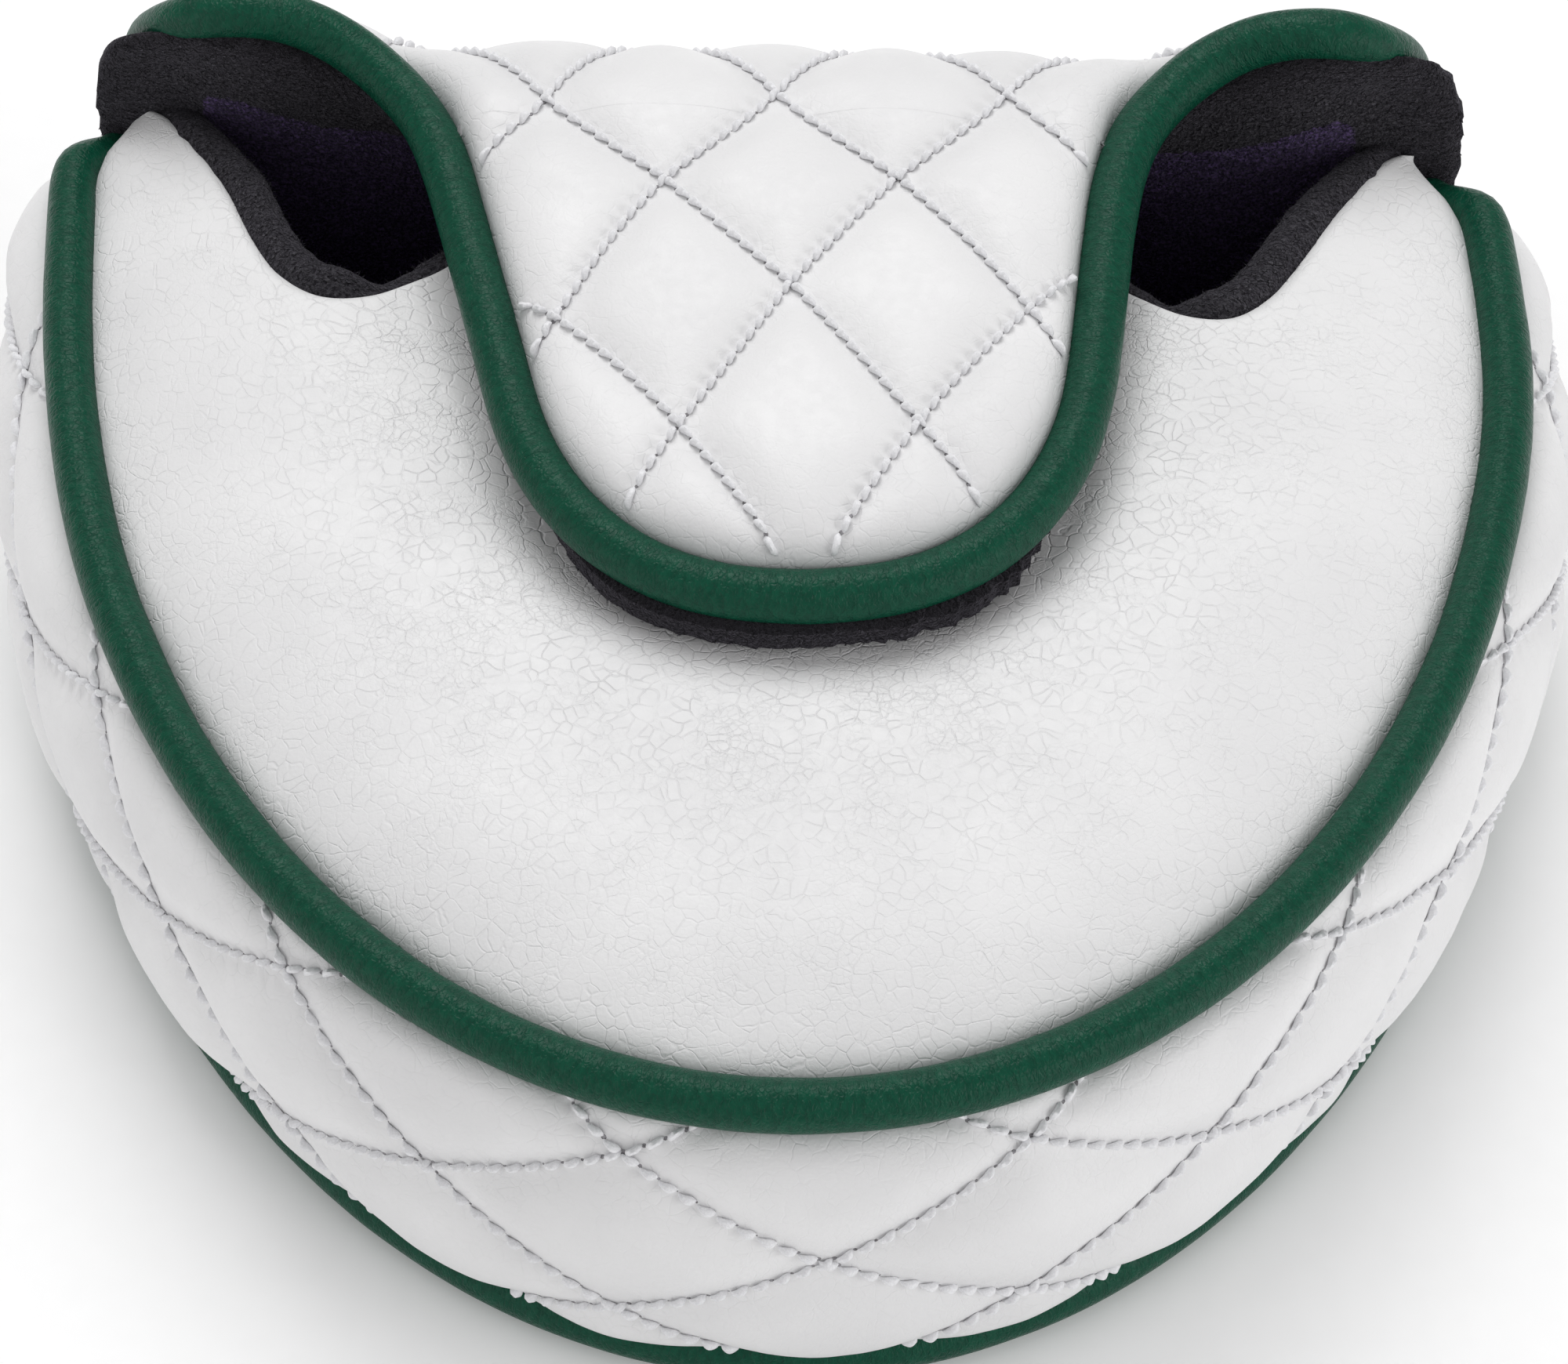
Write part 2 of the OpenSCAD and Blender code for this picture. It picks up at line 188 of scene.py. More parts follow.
def resample(path, count):
    """The same line with evenly spaced points."""
    at = line_lengths(path)
    to = np.linspace(0, at[-1], count)
    return np.stack([np.interp(to, at, path[:, k]) for k in range(path.shape[1])], -1)


def smoothed(path, reach):
    """The same line with its small kinks taken out: its ends stay."""
    bell = np.exp(-0.5 * (np.arange(-2 * reach, 2 * reach + 1) / reach) ** 2)
    bell = bell / bell.sum()
    before = 2 * path[0] - path[2 * reach:0:-1]
    after = 2 * path[-1] - path[-2:-2 * reach - 2:-1]
    padded = np.concatenate([before, path, after])
    return np.stack([np.convolve(padded[:, k], bell, "valid") for k in range(3)], -1)


def outline_distance(points, outline):
    """Distance from flat points to a polyline."""
    flat = points.reshape(-1, 2)
    best = np.full(len(flat), 1e9)
    for a, b in zip(outline[:-1], outline[1:]):
        ab = b - a
        t = np.clip(((flat - a) @ ab) / max(ab @ ab, 1e-9), 0, 1)
        best = np.minimum(best, np.linalg.norm(flat - a - t[:, None] * ab, axis=1))
    return best.reshape(points.shape[:-1])


def is_inside(points, outline):
    """Which flat points lie inside a closed outline."""
    x, y = points[:, 0], points[:, 1]
    inside = np.zeros(len(points), bool)
    for a, b in zip(outline, np.roll(outline, -1, axis=0)):
        crosses = (a[1] > y) != (b[1] > y)
        rise = b[1] - a[1] if abs(b[1] - a[1]) > 1e-9 else 1e-9
        inside ^= crosses & (x < a[0] + (y - a[1]) * (b[0] - a[0]) / rise)
    return inside


# The lean: the cover's shift to the right, and how much of it is lost towards the back and low down
LEAN_RIGHT = 1.2
LEAN_LOST = 0.8
# How far back a place lies for each millimetre to the left: on the pocket, and high on the flap
POCKET_SKEW = 0.06
FLAP_SKEW = 0.0455
# The high flap's shift forwards, and its tongue's to the right
FLAP_FORWARD = 0.72
TONGUE_RIGHT = 0.6
# The left notch's shift to the left, and the left horn's to the left and back
NOTCH_LEFT = 2.4
HORN_LEFT = 0.8
HORN_BACK = 1.0
# How far back the horns' tips press the flap, and how far forwards the front lies
HORN_PRESS = 2.6
FRONT_FORWARD = 0.5


def sewn_lean(points, on_flap):
    """The hand-sewn cover isn't quite symmetric: its left side lies further back than its right.

    Above its foot, the flap leans a little less than the pocket, and the horns' tips press it back.
    """
    p = np.array(points, float)
    x, y, z = (p[..., k].copy() for k in range(3))
    behind = smooth(0, 35, y)
    free = smooth(28, 46, z) * on_flap
    low = 1 - np.clip(z / SEAM_Z, 0, 1)
    notch = bell(x, -39, 10) * bell(y, 31, 12) * smooth(15, 30, z) * (1 - on_flap)
    horn = bell(abs(x), 55, 8) * smooth(18, 32, z) * smooth(50, 41, z) * on_flap
    left_horn = bell(x, -56, 8) * bell(y, 51, 9) * smooth(25, 33, z) * (1 - on_flap)
    back = np.clip((y + 5) / 50, 0, 1)
    skew = lerp(POCKET_SKEW * x, FLAP_SKEW * x + FLAP_FORWARD, free)
    p[..., 0] = x + LEAN_RIGHT - LEAN_LOST * back - LEAN_LOST * low * (1 - free)
    p[..., 0] += TONGUE_RIGHT * free * smooth(36, 12, y) - NOTCH_LEFT * notch - HORN_LEFT * left_horn
    p[..., 1] = y - skew * behind + HORN_PRESS * horn + HORN_BACK * left_horn
    p[..., 1] -= FRONT_FORWARD * smooth(0, -50, y)
    return p


# ---------- mesh making ----------

# How the names of the flap's pieces start
FLAP_NAMES = ("flap_", "riser_")
# Edges that bend more than this are drawn sharp
SHARP_FROM = math.radians(55)


def make_piece(name, points, faces, material, tints=None):
    """An object in metres, with its resting place in millimetres kept for its material."""
    mesh = bpy.data.meshes.new(name)
    placed = sewn_lean(points, name.startswith(FLAP_NAMES))
    mesh.from_pydata((placed * MM).tolist(), [], [list(f) for f in faces])
    rest = mesh.attributes.new("rest_mm", "FLOAT_VECTOR", "POINT")
    rest.data.foreach_set("vector", np.asarray(points, np.float32).ravel())
    for key, values in (tints or {}).items():
        layer = mesh.attributes.new(key, "FLOAT", "POINT")
        layer.data.foreach_set("value", np.asarray(values, np.float32).ravel())
    mesh.polygons.foreach_set("use_smooth", [True] * len(mesh.polygons))
    mesh.materials.append(material)
    piece = bpy.data.objects.new(name, mesh)
    bpy.context.scene.collection.objects.link(piece)
    face_out(piece)
    mesh.set_sharp_from_angle(angle=SHARP_FROM)
    return piece


def face_out(piece):
    """Turn all of a piece's faces outwards."""
    shape = bmesh.new()
    shape.from_mesh(piece.data)
    bmesh.ops.recalc_face_normals(shape, faces=shape.faces)
    shape.to_mesh(piece.data)
    shape.free()


def grid_of(across, up):
    """Two rows of numbers as a grid: the first along its rows, and the second up its columns."""
    return np.broadcast_arrays(across[None, :], up[:, None])


def grid_faces(rows, cols, first=0):
    r, c = np.mgrid[0:rows - 1, 0:cols - 1]
    a = (first + r * cols + c).ravel()
    return np.stack([a, a + 1, a + cols + 1, a + cols], -1)


def grid_rim(rows, cols):
    """The border points of a grid, in order."""
    return np.concatenate([
        np.arange(cols),
        np.arange(2, rows) * cols - 1,
        [rows * cols - 1],
        (rows - 1) * cols + np.arange(cols - 2, -1, -1),
        np.arange(rows - 2, 0, -1) * cols,
    ])


def shell(outer, inner):
    """Points and faces of a closed solid between two grids."""
    rows, cols = outer.shape[:2]
    count = rows * cols
    rim = grid_rim(rows, cols)
    after = np.roll(rim, -1)
    sides = np.stack([after, rim, rim + count, after + count], -1)
    faces = np.concatenate([grid_faces(rows, cols), grid_faces(rows, cols, count)[:, ::-1], sides])
    return np.concatenate([outer.reshape(-1, 3), inner.reshape(-1, 3)]), faces


def grid_normals(grid):
    return unit(np.cross(np.gradient(grid, axis=1), np.gradient(grid, axis=0)))


def path_frames(path):
    """Tangents, and two sideways directions that don't twist along the path."""
    tangents = unit(np.gradient(path, axis=0))
    side = np.cross(tangents[0], [0, 0, 1.0])
    if np.linalg.norm(side) < 0.1:
        side = np.cross(tangents[0], [0, 1.0, 0])
    sides = []
    for tangent in tangents:
        side = side - (side @ tangent) * tangent
        side = side / np.linalg.norm(side)
        sides.append(side)
    sides = np.array(sides)
    return tangents, sides, np.cross(tangents, sides)


def circle(sides):
    """Evenly spaced angles round a circle."""
    return 2 * math.pi * np.arange(sides) / sides


def tube_faces(rings, sides):
    """Faces of a closed tube, made of rings of points."""
    a = (np.arange(rings - 1)[:, None] * sides + np.arange(sides)).ravel()
    b = (np.arange(rings - 1)[:, None] * sides + (np.arange(sides) + 1) % sides).ravel()
    faces = [list(f) for f in np.stack([a, b, b + sides, a + sides], -1)]
    faces.append(list(range(sides))[::-1])
    faces.append([(rings - 1) * sides + k for k in range(sides)])
    return faces


# A tube's round ends: the rings in each, and how far round the last ring is
END_RINGS = 5
END_TURN = 0.94 * math.pi / 2


def tube(path, radius, sides):
    """Points and faces of a round-ended tube, with where each point is along it and round it."""
    tangents, right, up = path_frames(path)
    radius = np.broadcast_to(radius, len(path)).astype(float)
    rings = []
    for a in np.linspace(END_TURN, 0, END_RINGS, endpoint=False):
        rings.append((0, math.cos(a), -math.sin(a)))
    rings += [(i, 1.0, 0.0) for i in range(len(path))]
    for a in np.linspace(0, END_TURN, END_RINGS + 1)[1:]:
        rings.append((len(path) - 1, math.cos(a), math.sin(a)))
    turn = circle(sides)
    lengths = line_lengths(path)
    points = []
    along = []
    for i, wide, ahead in rings:
        centre = path[i] + tangents[i] * radius[i] * ahead
        ring = np.cos(turn)[:, None] * right[i] + np.sin(turn)[:, None] * up[i]
        points.append(centre + radius[i] * wide * ring)
        along.append(lengths[i] + radius[i] * ahead)
    tints = {
        "along": np.repeat(along, sides),
        "round_x": np.tile(np.cos(turn), len(rings)),
        "round_y": np.tile(np.sin(turn), len(rings)),
    }
    return np.concatenate(points), tube_faces(len(rings), sides), tints


def join(parts):
    """Several sets of points and faces as one."""
    points = []
    faces = []
    count = 0
    for some_points, some_faces in parts:
        points.append(some_points)
        faces += [[i + count for i in face] for face in some_faces]
        count += len(some_points)
    return np.concatenate(points), faces


# Fibres: their mean length and its spread, half thickness, depth of the root and lean
FIBRE_LEN = 0.55
FIBRE_SPREAD = (0.5, 1.15)
FIBRE_R = 0.055
FIBRE_ROOT = 0.12
FIBRE_LEAN = 0.75


def fibres(spots, normals, seed):
    """Short leaning fibres, each a thin closed spike, on a pile fabric."""
    rng = np.random.default_rng(seed)
    count = len(spots)
    lean = unit(normals + rng.normal(0, FIBRE_LEAN, (count, 3)))
    tall = FIBRE_LEN * rng.uniform(*FIBRE_SPREAD, count)[:, None]
    side = unit(np.cross(lean, rng.normal(0, 1, (count, 3))))
    other = np.cross(lean, side)
    sunk = spots - FIBRE_ROOT * normals
    corners = [sunk + FIBRE_R * (math.cos(a) * side + math.sin(a) * other) for a in circle(3)]
    points = np.stack(corners + [spots + tall * lean], 1).reshape(-1, 3)
    base = 4 * np.arange(count)[:, None]
    pattern = np.array([[0, 2, 1], [0, 1, 3], [1, 2, 3], [2, 0, 3]])
    return points, (base[:, None, :] + pattern[None]).reshape(-1, 3)


def quad_normals(points, quads):
    """The quads' normals, each twice as long as its quad's area."""
    a, b, c, d = (points[quads[:, k]] for k in range(4))
    return np.cross(c - a, d - b)


def scatter(points, quads, count, seed):
    """Random spots on some quads, by area, with their normals and first corners."""
    rng = np.random.default_rng(seed)
    a, b, c, d = (points[quads[:, k]] for k in range(4))
    normals = quad_normals(points, quads)
    area = np.linalg.norm(normals, axis=1)
    pick = rng.choice(len(quads), count, p=area / area.sum())
    s, t = rng.random((2, count, 1))
    spots = lerp(lerp(a[pick], b[pick], s), lerp(d[pick], c[pick], s), t)
    return spots, unit(normals[pick]), quads[pick, 0]


# ---------- the seams' plan and the side wall ----------

def seam_at(u, out):
    u = np.asarray(u, float)
    a = np.clip(u / FRONT_SHARE, -1, 1) * math.pi / 2
    back = np.maximum(abs(u) - FRONT_SHARE, 0) / (1 - FRONT_SHARE) * (SIDE_END_Y - WIDEST_Y)
    normal = unit(np.stack([np.sin(a) / SEAM_HALF_W, -np.cos(a) / FRONT_LEN], -1))
    curl = SIDE_TAPER * back**2 + CURL * np.maximum(back - CURL_FROM, 0) ** 2
    plan = np.stack([
        SEAM_HALF_W * np.sin(a) - np.sign(u) * curl,
        WIDEST_Y - FRONT_LEN * np.cos(a) + back,
    ], -1)
    return plan + np.asarray(out, float)[..., None] * normal


def seam_end(y):
    return FRONT_SHARE + (1 - FRONT_SHARE) * (y - WIDEST_Y) / (SIDE_END_Y - WIDEST_Y)


def with_z(plan, z):
    return np.concatenate([plan, np.broadcast_to(z, plan.shape[:-1])[..., None]], -1)


# The wall's foot stands in the bottom piping, and its ends stop short of the top seam's
WALL_FOOT = 2 * PIPING_R - 0.8
WALL_END = seam_end(SIDE_END_Y - 2.4)
# Its swelling is fuller than a sine's, and larger at the sides
WALL_FULLNESS = 0.86
SIDE_SWELL = 1.6
FLARE_DIP = 0.9


def flare_at(u):
    """How far the bottom seam lies outside the top seam: least halfway round the front's sides."""
    return BOTTOM_FLARE - FLARE_DIP * np.sin(math.pi * np.clip(abs(u) / FRONT_SHARE, 0, 1)) ** 2


def wall_at(u, v, d):
    top = SEAM_Z - PIPING_R + 0.3 - 0.6 * np.maximum(d, 0)
    swell = WALL_BULGE + SIDE_SWELL * smooth(0.55, 0.85, abs(u))
    full = np.maximum(np.sin(math.pi * v), 0) ** WALL_FULLNESS
    out = flare_at(u) * (1 - v) + swell * full - d
    rise = 0.5 - 0.5 * np.cos(math.pi * v)
    return with_z(seam_at(u, out), lerp(WALL_FOOT, top, rise))


# Lengths along the wall's middle and up its height, for the quilting
WALL_U = np.linspace(-1, 1, 1201)
WALL_A = line_lengths(wall_at(WALL_U, 0.5 + 0 * WALL_U, 0 * WALL_U))
WALL_A = WALL_A - WALL_A[-1] / 2
WALL_V = np.linspace(0, 1, 401)
WALL_H = line_lengths(wall_at(0 * WALL_V, WALL_V, 0 * WALL_V))

# The wall's diamonds: width, height, and where one of them has its middle crossing
DIAMOND_W = 34
DIAMOND_H = 18.8
DIAMOND_A0 = 1.5
DIAMOND_H0 = 17.3


def wall_lines(a, h):
    """Distances to the nearest stitch line of each slant."""
    across = (a - DIAMOND_A0) * DIAMOND_H / DIAMOND_W
    lean = 1 / math.hypot(1, DIAMOND_H / DIAMOND_W)
    found = []
    for slant in (-1, 1):
        t = (across + slant * (h - DIAMOND_H0)) / DIAMOND_H
        found.append(abs(t - np.round(t)) * DIAMOND_H * lean)
    return found


def wall_lengths(u, v):
    """Lengths along the wall and up it, and the distance to its nearer seam."""
    a = np.interp(u, WALL_U, WALL_A)
    h = np.interp(v, WALL_V, WALL_H)
    return a, h, np.minimum(h, WALL_H[-1] - h)


def quilt_puff(distances, height, reach):
    """Height of a quilted surface from its distances to the stitch lines."""
    puff = height
    for d in distances:
        puff = puff * (1 - np.exp(-(d / reach) ** 1.5))
    return puff


WALL_PUFF = 1.5


def wall_depth(u, v):
    """Depth of the quilted leather's face, below the plain wall: less than 0 where it swells."""
    a, h, edge = wall_lengths(u, v)
    lines = wall_lines(a, h)
    flat = np.stack([a, h, 0 * a], -1)
    near = np.exp(-np.minimum(*lines) / 1.6)
    pucker = 0.10 * lumps(flat, 1.3, 3) * near
    waves = 0.22 * lumps(flat, 9, 5) + 0.10 * lumps(flat, 3.5, 6)
    tuck = 1.5 * np.exp(-edge / 0.9)
    return 0.35 - quilt_puff(lines, WALL_PUFF, 2.5) - pucker - waves + tuck


# ---------- the top panel ----------

MOUTH_POINTS = [
    (53.2, 18.2), (49.6, 11.6), (46.0, 5.2), (43.0, -0.2), (40.2, -4.4), (36.9, -6.9),
    (33.0, -6.7), (29.3, -4.0), (25.6, -0.4), (20.6, 2.9), (14.4, 4.9), (7.2, 5.8), (0, 6.0),
]


def mouth_at(u):
    u = np.asarray(u, float)
    p = spline(MOUTH_POINTS, (1 - abs(u)) ** 0.76)
    return np.stack([np.where(u < 0, -p[..., 0], p[..., 0]), WIDEST_Y + p[..., 1]], -1)


def panel_inset(u, d):
    """How far the panel's edge lies inside the seam: at the sides it swells over the piping."""
    return PIPING_R - 0.35 + 0.45 * d - 0.7 * smooth(0.5, 0.85, abs(u))


def panel_height(dist):
    """The panel's height by the distance from its seam: a quick rise, then the crown."""
    rise = 1.6 * (1 - np.exp(-dist / 0.9))
    return SEAM_Z - 1.2 + rise + (CROWN - 0.8) * (1 - np.exp(-dist / CROWN_REACH))


def panel_at(u, w, d):
    start = seam_at(u, -panel_inset(u, d))
    plan = start + (mouth_at(u) - start) * w[..., None]
    dist = np.linalg.norm(plan - start, axis=-1) + 0.45 * d
    return with_z(plan, panel_height(dist) - d)


# ---------- the flap ----------

# Half of the flap's piping line, laid flat: x across, s along the middle layer from the foot
SHOULDER_POINTS = [
    (55.4, 0.6), (55.4, 10), (55.4, 20), (55.4, 28), (54.4, 34.3), (52.1, 39.3), (49.0, 42.2),
    (45.3, 42.9), (41.6, 41.8), (38.2, 40.7), (35.0, 40.4), (32.2, 41.4), (30.3, 43.5),
    (TONGUE_HALF_W + TONGUE_FLARE, HINGE_S),
]
# Half of the fleece lining's edge: beyond the piping at the sides, inside it along the shoulder
LINING_POINTS = [
    (58.2, 0.6), (58.9, 10), (59.2, 20), (59.3, 28), (58.6, 34), (55.8, 38.8), (50.8, 41.2),
    (45.5, 41.4), (41.5, 40.2), (38.0, 39.1), (34.6, 38.8), (31.5, 39.9), (29.2, 42.8),
    (TONGUE_HALF_W + TONGUE_FLARE - 1.0, HINGE_S),
]


def fold_at(x):
    return FOLD_Z + SHOULDER_LIFT * smooth(LIFT_FROM, LIFT_TO, abs(x))


def flap_at(x, s, d):
    """A point of the flap: round its foot, up its wall, over the fold and along the tongue."""
    x, s, d = np.broadcast_arrays(x, s, d)
    foot = np.maximum(-s, 0) / (BEND_R - MID_DEPTH)
    foot_y = BEND_Y + (BEND_R - d) * np.cos(foot)
    foot_z = BEND_R - (BEND_R - d) * np.sin(foot)
    start = fold_at(x) - BEND_R
    turn = np.clip(s - start, 0, None) / TURN_R
    wall_y = HINGE_Y + (FOLD_R - d) * np.cos(turn)
    wall_z = BEND_R + np.minimum(s, start) + (FOLD_R - d) * np.sin(turn)
    along = s - HINGE_S
    flat_y = HINGE_Y - along * math.cos(TONGUE_SLOPE)
    flat_z = FOLD_TOP - d - along * math.sin(TONGUE_SLOPE)
    y = np.where(s < 0, foot_y, np.where(along > 0, flat_y, wall_y))
    z = np.where(s < 0, foot_z, np.where(along > 0, flat_z, wall_z))
    return np.stack([x, y, z], -1)


def inset_line(line, by):
    """A flat line moved to its left."""
    heading = unit(np.gradient(line, axis=0))
    return line + by * np.stack([-heading[:, 1], heading[:, 0]], -1)


STRAIGHT_STEPS = 60
ROUND_STEPS = 180
# Where the tongue's grid has its corners: 40 degrees round from the end of its straight sides
TIP_CORNER = STRAIGHT_STEPS + round(ROUND_STEPS * 40 / 90)


def even_inset(by):
    """An inset that is the same all along the tongue."""
    return lambda along: by + 0 * along


def lining_inset(along):
    """The tongue's lining reaches out past the piping at the tip."""
    return 1.0 - 1.0 * smooth(0, 14, along) - 2.4 * smooth(34, 48, along)


def tongue_edge(inset):
    """The right half of the tongue's edge, from the hinge line to the middle of its tip."""
    turn = np.linspace(math.pi / 2, 0, ROUND_STEPS)
    power = 2 / TIP_POWER
    straight = np.linspace(0, TIP_FROM, STRAIGHT_STEPS, endpoint=False)
    along = np.concatenate([straight, TIP_FROM + (TONGUE_LEN - TIP_FROM) * np.cos(turn) ** power])
    wide = np.concatenate([np.ones(STRAIGHT_STEPS), np.sin(turn) ** power])
    flare = TONGUE_FLARE * np.exp(-along / TONGUE_FLARE_REACH)
    line = np.stack([(TONGUE_HALF_W - TONGUE_TAPER * along + flare) * wide, along], -1)
    line = inset_line(line, inset(along)[:, None])
    line[-1, 0] = 0
    return line + [0, HINGE_S]


def tongue_grid(inset, rows, cols):
    """Flat points of the tongue, between its sides and the arc of its tip."""
    edge = tongue_edge(inset)
    mirror = np.array([-1, 1])
    side = resample(edge[:TIP_CORNER + 1], rows)[:, None, :]
    half_tip = edge[TIP_CORNER:]
    tip = resample(np.concatenate([half_tip * mirror, half_tip[::-1][1:]]), cols)[None]
    q = np.linspace(-1, 1, cols)[None, :, None]
    t = np.linspace(0, 1, rows)[:, None, None]
    root = np.concatenate([q * side[0, 0, 0], 0 * q + HINGE_S], -1)
    p = (q + 1) / 2
    sides = (1 - p) * side * mirror + p * side
    ends = (1 - t) * root + t * tip
    corners = (1 - t) * lerp(root[:, :1], root[:, -1:], p) + t * lerp(tip[:, :1], tip[:, -1:], p)
    return sides + ends - corners


def wall_grid(points, by, root, rows, cols):
    """Flat points of the flap's wall, from its foot to the hinge line, where it is root wide each way."""
    edge = inset_line(spline(points, np.linspace(0, 1, rows)), by)
    edge[0, 1] = 0
    edge[-1] = [root, HINGE_S]
    middle = HINGE_S * np.linspace(0, 1, rows)
    q = np.linspace(-1, 1, cols)[None, :]
    x = q * edge[:, :1]
    s = lerp(middle[:, None], edge[:, 1:], q**2)
    return np.stack([x, s], -1)


def flap_grid(points, by, inset, foot_rows, wall_rows, tongue_rows, cols):
    """Flat points of the whole flap."""
    tongue = tongue_grid(inset, tongue_rows, cols)
    wall = wall_grid(points, by, tongue[0, -1, 0], wall_rows, cols)
    foot_s = np.linspace(FOOT_S, 0, foot_rows, endpoint=False)
    foot = np.stack(np.broadcast_arrays(wall[0][None, :, 0], foot_s[:, None]), -1)
    return np.concatenate([foot, wall, tongue[1:]])


def flap_outline(points, by, inset):
    """The whole flap's edge, laid flat."""
    wall = inset_line(spline(points, np.linspace(0, 1, 90)), by)
    foot = np.array([[wall[0, 0], FOOT_S - 20]])
    tongue = resample(tongue_edge(inset), 60)
    right = np.concatenate([foot, wall[:-1], tongue[1:]])
    return np.concatenate([right, (right * [-1, 1])[::-1][1:]])


SKIN_OUTLINE = flap_outline(SHOULDER_POINTS, TUCK_IN, even_inset(TUCK_IN))
FOAM_INSET = TUCK_IN + 0.5

# The flap's diamonds: half their width, their middle, and the crossings' rows along the flap
FLAP_HALF_DIAMOND = 9.75
FLAP_DIAMOND_X0 = -0.3
FLAP_ROWS = [-26.5, -12.5, 1.5, 15.5, 30.3, 44.3, 53.8, 66.0, 81.2, 96.5, 112.5]
FLAP_FIRST_ROW = -5
FLAP_PUFF = 1.25


def flap_row_at(x, s):
    """The crossings' row at a flat place. One row curves where the tongue's sides turn down."""
    bend = 2.4 * np.minimum(abs(x) / 19.5, 1.3) ** 2 * np.exp(-((s - 68) / 9) ** 2)
    tilt = 0.035 * x * smooth(HINGE_S + 36, HINGE_S + 16, s)
    return np.interp(s - bend + tilt, FLAP_ROWS, np.arange(len(FLAP_ROWS)) + FLAP_FIRST_ROW)


def flap_lines(x, s):
    """Distances to the nearest stitch line of each slant."""
    row = flap_row_at(x, s)
    spacing = 1 / np.maximum(flap_row_at(x, s + 0.5) - flap_row_at(x, s - 0.5), 1e-3)
    lean = spacing / np.hypot(FLAP_HALF_DIAMOND, spacing)
    across = (x - FLAP_DIAMOND_X0) / FLAP_HALF_DIAMOND
    found = []
    for slant in (-1, 1):
        t = (across + slant * row) / 2
        found.append(abs(t - np.round(t)) * 2 * FLAP_HALF_DIAMOND * lean)
    return found


def flap_depth(x, s):
    """Depth of the flap's quilted face: less than 0 where it swells."""
    edge = outline_distance(np.stack([x, s], -1), SKIN_OUTLINE)
    lines = flap_lines(x, s)
    flat = np.stack([x, s, 0 * x], -1)
    near = np.exp(-np.minimum(*lines) / 1.5)
    on_top = smooth(HINGE_S - 30, HINGE_S - 12, s)
    crown = lerp(0.6, 1.2, on_top) + 0.8 * smooth(HINGE_S - 2, HINGE_S + 14, s)
    crown = crown * (1 - np.exp(-edge / 5))
    pucker = 0.07 * lumps(flat, 1.2, 11) * near + 0.10 * lumps(flat, 1.6, 12) * np.exp(-edge / 2)
    waves = 0.12 * lumps(flat, 7, 13)
    tuck = 2.4 * np.exp(-edge / 0.75)
    above_floor = smooth(FOOT_S, 1, s)
    lift = quilt_puff(lines, FLAP_PUFF, 2.3) + pucker + waves
    return (0.3 - crown - lift * (1 - np.exp(-edge / 1.5))) * above_floor + tuck


# ---------- stitches ----------

THREAD_R = 0.35
THREAD_LIFT = 0.26
WALL_PITCH = 1.9
FLAP_PITCH = 1.55
STITCH_RINGS = 9
STITCH_SIDES = 8
STITCH = tube_faces(STITCH_RINGS, STITCH_SIDES)
# The gap at each end of a stitch, as a share of its length
STITCH_GAP = 0.06
# Needle holes, drawn as small dark lenses of painted shade: their radius, and how far their lens stands out
# and goes in
HOLE_R = 0.7 * THREAD_R
HOLE_RISE = 0.07
HOLE_DEPTH = 0.15


def one_stitch(a, b, normal):
    """A two-ply thread's stitch from a to b: rings of a twisted, tapered tube."""
    t = np.linspace(0, 1, STITCH_RINGS)[:, None]
    side = np.cross(normal, unit(b - a))
    swell = np.maximum(np.sin(math.pi * t), 0.0) ** 0.4
    arch = THREAD_R * (0.95 * swell - 0.5)
    slant = 0.35 * THREAD_R * (2 * t - 1)
    centre = a + (b - a) * t + normal * arch + side * slant
    turn = circle(STITCH_SIDES)[None, :]
    ply = 1 + 0.20 * np.cos(2 * turn - 5.5 * t)
    wide = THREAD_R * np.maximum(swell, 0.12) * ply
    ring = np.cos(turn)[..., None] * side + np.sin(turn)[..., None] * normal
    return (centre[:, None, :] + wide[..., None] * ring).reshape(-1, 3)


def sew(lines, surface, pitch, keep=None):
    """Stitches along flat lines on a surface. keep picks stitches by the flat place of their middles."""
    parts = []
    holes = []
    for line in lines:
        at = line_lengths(line)
        count = round(at[-1] / pitch)
        if count < 1:
            continue
        marks = np.linspace(0, at[-1], count + 1)
        knots = np.stack([np.interp(marks, at, line[:, k]) for k in (0, 1)], -1)
        middles = (knots[:-1] + knots[1:]) / 2
        chosen = np.ones(count, bool) if keep is None else keep(middles)
        spots, normals = surface(knots)
        raised = spots + THREAD_LIFT * normals
        middle_normals = surface(middles)[1]
        for i in np.flatnonzero(chosen):
            gap = STITCH_GAP * (raised[i + 1] - raised[i])
            stitch = one_stitch(raised[i] + gap, raised[i + 1] - gap, middle_normals[i])
            parts.append((stitch, STITCH))
            holes.append((spots[i], normals[i]))
    return parts, holes


def painted_hole_shades(holes):
    """Painted shade where the thread goes in: small dark dimples, as flat lenses."""
    turn = circle(STITCH_SIDES)[:, None]
    faces = []
    for k in range(STITCH_SIDES):
        after = (k + 1) % STITCH_SIDES
        faces += [[k, after, STITCH_SIDES], [after, k, STITCH_SIDES + 1]]
    parts = []
    for spot, normal in holes:
        side = unit(np.cross(normal, [0.3, 0.9, 0.2]))
        rim = spot + HOLE_R * (np.cos(turn) * side + np.sin(turn) * np.cross(normal, side))
        ends = [spot + HOLE_RISE * normal, spot - HOLE_DEPTH * normal]
        parts.append((np.concatenate([rim, ends]), faces))
    return parts


